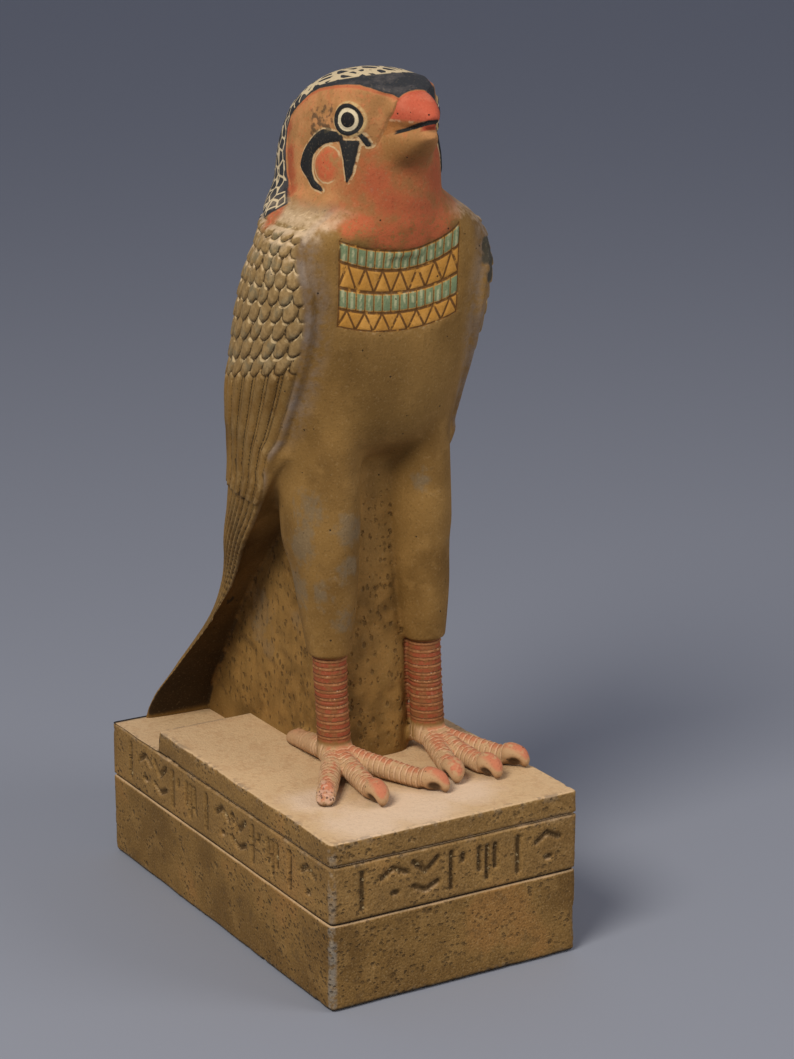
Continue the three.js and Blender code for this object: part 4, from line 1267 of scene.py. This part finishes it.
def leg_coats(paint, y, z, lumps, worn, up):
    """Red rings on the shanks and toes, painted highlights on their ridges, painted shade in their creases,
    under dust on the toes.
    """
    coat, stored = paint.coat, paint.stored
    both = lumps + worn
    wobble = (worn - 0.5) * 1.2
    shank, left, aside = stored("shank"), stored("toe_left"), stored("toe_aside").away()
    part = ((z - FOOT_TOP) / SHANK_RING + wobble * 0.06).part()
    coat(shank * 0.9, (132, 80, 44))
    coat(shank * both.step(0.85, 1.1) * part.band(0.42, 0.95) * 0.75, (146, 66, 40))
    # Painted highlights on the ridges and painted shade in the creases of the shank's rings
    coat(shank * part.band(0.06, 0.3) * worn.step(0.36, 0.6) * 0.5, (184, 128, 84))
    coat(shank * part.band(0.34, 0.42) * 0.8, CREASE_SHADE)
    coat(shank * part.band(0.94, 1) * worn.step(0.3, 0.5) * 0.5, CREASE_SHADE)
    toe = z.step(12, 9.5) * z.step(-1, 0.5) * stored("toe_along").step(-6, -2) * left.step(-3, 0)
    toe = toe * aside.step(6.5, 5) * stored("web").rest()
    middle = aside.step(3.4, 1.4) * up.step(0, 0.5)
    part = (stored("toe_along") / TOE_RING + wobble * 0.1).part()
    scaly = toe * left.step(7, 9)
    coat(toe * 0.95, (186, 148, 108))
    coat(toe * middle * both.step(0.82, 1.05) * 0.75, (180, 98, 66))
    coat(toe * left.step(9, 6) * middle * both.step(0.7, 1.1) * 0.5, (196, 116, 86))
    # Painted highlights on the toes' ring ridges and painted shade in their creases
    coat(scaly * part.band(0.06, 0.28) * worn.step(0.35, 0.5) * 0.6, (216, 176, 140))
    coat(scaly * part.band(0.34, 0.42) * worn.step(0.3, 0.5) * 0.7, (116, 72, 44))
    coat(toe * y.step(-14, -8) * 0.7, (174, 136, 98))
    broken = stored("broken")
    coat(toe * broken.step(0.3, 0.7) * worn.step(0.42, 0.52) * 0.6, (206, 172, 146))
    specks = paint.cells(1.3, shift=8).step(0.42, 0.26) * worn.step(0.4, 0.5)
    coat(toe * broken.step(0.2, 0.6) * specks * 0.8, (74, 46, 32))
    coat(toe * (z + (worn - 0.5) * 2).step(2.4, 0.6) * 0.7, (84, 60, 38))
    # Painted shade in the hollow beside each claw
    coat(stored("beside_claw").step(0.1, 0.4) * 0.85, (44, 28, 14))


def collar_coats(paint, lumps, worn):
    """Green beads with painted highlights, and ochre triangles between brown lines."""
    coat = paint.coat
    share, level = paint.stored("collar_share"), paint.stored("collar_level")
    within = share.away().step(1.01, 0.99) * level.step(-0.05, -0.01) * level.step(4.05, 4.01)
    within = within * paint.stored("collar_front")
    beaded = level.math("FLOOR").math("PINGPONG", 1).step(0.6, 0.4)
    bead = ((share + 1) * (COLLAR_BEADS / 2)).from_middle()
    tooth = ((share + 1) * (COLLAR_TRIANGLES / 2)).from_middle()
    from_line = (level - level.math("ROUND")).away()
    coat(within * 0.95, (182, 128, 52))
    coat(within * lumps.step(0.5, 0.65) * 0.6, (206, 150, 72))
    coat(within * beaded * bead.step(0.95, 0.7) * from_line.step(0.08, 0.16), (114, 128, 92))
    # Painted highlight on the middle of each bead
    coat(within * beaded * bead.step(0.5, 0.1) * (lumps + worn).step(0.85, 1.1) * 0.8, (180, 176, 134))
    line = from_line.step(0.1, 0.05).upper(share.away().step(0.96, 0.98))
    line = line.upper(beaded * bead.step(0.84, 0.94))
    line = line.upper(beaded.rest() * (level.part() - tooth).away().step(0.17, 0.1))
    coat(within * line * worn.step(0.28, 0.42) * 0.9, (84, 52, 20))


def face_coats(paint, side, y, z, lumps, worn):
    """The cheek, the dark marks with light outlines, the beak with painted highlights on its top, the cap
    with its net, and the eye.
    """
    coat, stored = paint.coat, paint.stored
    both = lumps + worn
    wobble = (worn - 0.5) * 1.2
    cheek = stored("cheek")
    coat(side * (cheek + wobble).step(1.2, -1.6) * both.step(0.75, 1.05) * 0.9, (182, 88, 54))
    arc = cheek + wobble * 0.4
    arc = arc.step(0.9, 0.6) * arc.step(0.1, 0.4) * y.step(-28, -26).upper(z.step(219, 221))
    coat(side * arc * 0.7, CREAM)
    marks = stored("marks") + wobble * 0.35
    coat(side * marks.step(1.2, 0.8) * worn.step(0.36, 0.5) * 0.7, CREAM)
    coat(side * marks.step(0.5, 0.2), BLACK)
    smudge = stored("smudge")
    coat((smudge + (worn - 0.5) * 3).step(0.45, 0.95) * smudge.step(0.15, 0.45) * side * 0.75, (58, 52, 38))
    coat(y.step(-38.5, -41) * z.step(230, 226) * z.step(216, 222) * 0.6, (140, 98, 50))
    beak = stored("beak").step(0.2, -0.4) * stored("cap").step(0.2, 0.6)
    above = z - MOUTH_CORNER[1] + (y - MOUTH_CORNER[0]) * MOUTH_SLOPE
    red = above + wobble - (y + 44) * 0.33
    coat(beak * above.step(0, 0.5) * 0.85, (146, 92, 46))
    coat(beak * red.step(3.4, 5.2), (182, 84, 58))
    # Painted highlight: lighter patches along the top of the upper beak
    coat(beak * red.step(6.5, 10) * lumps.step(0.4, 0.6) * 0.4, (206, 124, 96))
    coat(beak * red.step(3.6, 4.2) * red.step(5, 4.3) * worn.step(0.4, 0.55) * 0.5, CREAM)
    coat(beak * y.step(-53, -55) * above.step(-2.6, -1.8) * above.step(0.2, -0.2), (150, 62, 38))
    coat((above + wobble * 0.5).away().step(0.9, 0.5) * y.step(-43.5, -45), BLACK)
    coat(stored("cere").step(0.7, 0.3) * y.step(-37, -39) * 0.6, (112, 74, 38))
    cap = stored("cap") + wobble * 0.2
    coat(cap.step(1.5, 0.9) * cap.step(0.2, 0.5) * z.step(232, 237) * 0.55, (176, 80, 52))
    coat(cap.step(0.4, 0), CAP_COLOUR)
    coat(cap.step(0.2, -0.2) * lumps.step(0.5, 0.65) * 0.5, (86, 80, 78))
    crown = z.step(236, 241)
    net = paint.cells(4.2, (1, 0.6, 1), feature="DISTANCE_TO_EDGE") * crown
    net = net + paint.cells(4.6, (0.9, 0.9, 1), feature="DISTANCE_TO_EDGE") * crown.rest()
    net = net + (worn - 0.5) * 0.08 - crown * 0.1
    coat(stored("net").step(-0.2, 0.3) * net.step(0.1, 0.05), (200, 180, 144))
    across = (y - EYE[0]) / 0.95
    along = (z - EYE[1]) / 1.04
    eye = from_centre(across, along) + wobble * 0.12
    coat(side * eye.step(6.1, 5.6) * worn.step(0.3, 0.5), (188, 156, 106))
    coat(side * eye.step(5.3, 5), BLACK)
    coat(side * eye.step(3.85, 3.6), (206, 190, 156))
    pupil = from_centre(across + PUPIL_PLACE, along) + wobble * 0.15
    coat(side * pupil.step(2.6, 2.35), (24, 22, 22))


def plinth_paint():
    """Bare ochre stone, pale with dust above and dark in its joints and pits, with dirt and painted shade in
    its hollows and cut marks.
    """
    paint = Paint("bare_stone", (106, 77, 35))
    coat, stored = paint.coat, paint.stored
    x, y, z = paint.axes(paint.place)
    broad, lumps = paint.noise(30, 4, 0), paint.noise(8, 4, 20)
    worn, grain = paint.noise(2, 4, 50), paint.noise(0.7, 3, 80)
    both = lumps + worn
    mark, edge = stored("mark"), stored("edge")
    coat(broad.step(0.35, 0.62), (132, 99, 50))
    coat(broad.step(0.55, 0.68) * 0.5, (152, 106, 54))
    coat(lumps.step(0.5, 0.68) * 0.45, (146, 112, 62))
    coat((lumps + (worn - 0.5) * 0.5).step(0.38, 0.28) * 0.4, (88, 66, 36))
    dust = (paint.facing_up() + (lumps - 0.5) * 0.3).step(0.4, 0.9)
    bare = dust.rest()
    coat(dust * 0.95, (208, 174, 132))
    coat(dust * both.step(0.95, 1.2) * 0.4, (184, 144, 104))
    coat(dust * (stored("pale") + (lumps - 0.5) * 0.5).step(0.15, 0.8) * 0.8, (222, 194, 166))
    coat(edge.step(3.2, 0.5) * both.step(1, 1.14) * 0.45, (98, 94, 88))
    corner = (x + y).step(-132, -133.4) * z.step(SLAB_TOP, SLAB_TOP - 4)
    coat(corner * both.step(0.8, 1.1) * 0.6, (132, 126, 116))
    coat(edge.step(1.6, 0.3) * (worn - lumps * 0.4).step(0.36, 0.42) * 0.35, (206, 176, 130))
    coat(z.step(LOWER_COURSE, LOWER_COURSE + 2) * bare * 0.3, (156, 120, 70))
    # Dirt and painted shade in the hollows and in the cut marks
    coat(stored("hollow").step(0.06, 0.3) * worn.step(0.2, 0.4) * 0.6, SOIL_AND_SHADE)
    coat(mark.step(1.5, 0.8) * worn.step(0.25, 0.5) * 0.35, SOIL_AND_SHADE)
    coat(mark.step(1.2, 0.6) * worn.step(0.6, 0.66) * 0.6, (206, 180, 130))
    joints = (z - LOWER_COURSE).away().lower((z - LEDGE_TOP).away()) + (worn - 0.5) * 0.5
    coat(joints.step(0.6, 0.3) * bare * 0.85, (34, 22, 10))
    coat(z.step(1.7, 0.7) * 0.85, (26, 24, 20))
    coat(grain.step(0.5, 0.68) * (dust * -0.3 + 0.4), SOIL_AND_SHADE)
    coat(grain.step(0.44, 0.3) * 0.16, GRIT)
    crowd = y.step(10, -80) * x.step(30, -40) * 0.12 + (broad - 0.5) * 0.3 + lumps
    pits = paint.cells(2.3, (1, 1, 1.4)).step(0.34, 0.22) * crowd.step(0.5, 0.6) * bare
    coat(pits * 0.48, (50, 34, 16))
    dents = paint.cells(5.5, shift=40).step(0.26, 0.08) * lumps.step(0.46, 0.54) * bare
    coat(dents * 0.25, SOIL_AND_SHADE)
    height = grain * 0.7 + worn * 0.8 - pits * 1.2 - dents * 1.6
    return paint.finish(height, 0.35, grain * 0.2 + 0.7)


for piece, material in ((falcon(), falcon_paint()), (plinth(), plinth_paint())):
    piece.data.materials.append(material)
    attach(piece, "root")
    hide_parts("horus_falcon")
floor()
surround()
camera()
lamp("key", (-1, -0.55, 1.25), 0.7, 23.5, (1, 0.96, 0.88))
lamp("fill", (0.9, -1.1, 0.7), 0.9, 8.5, (1, 0.97, 0.93))
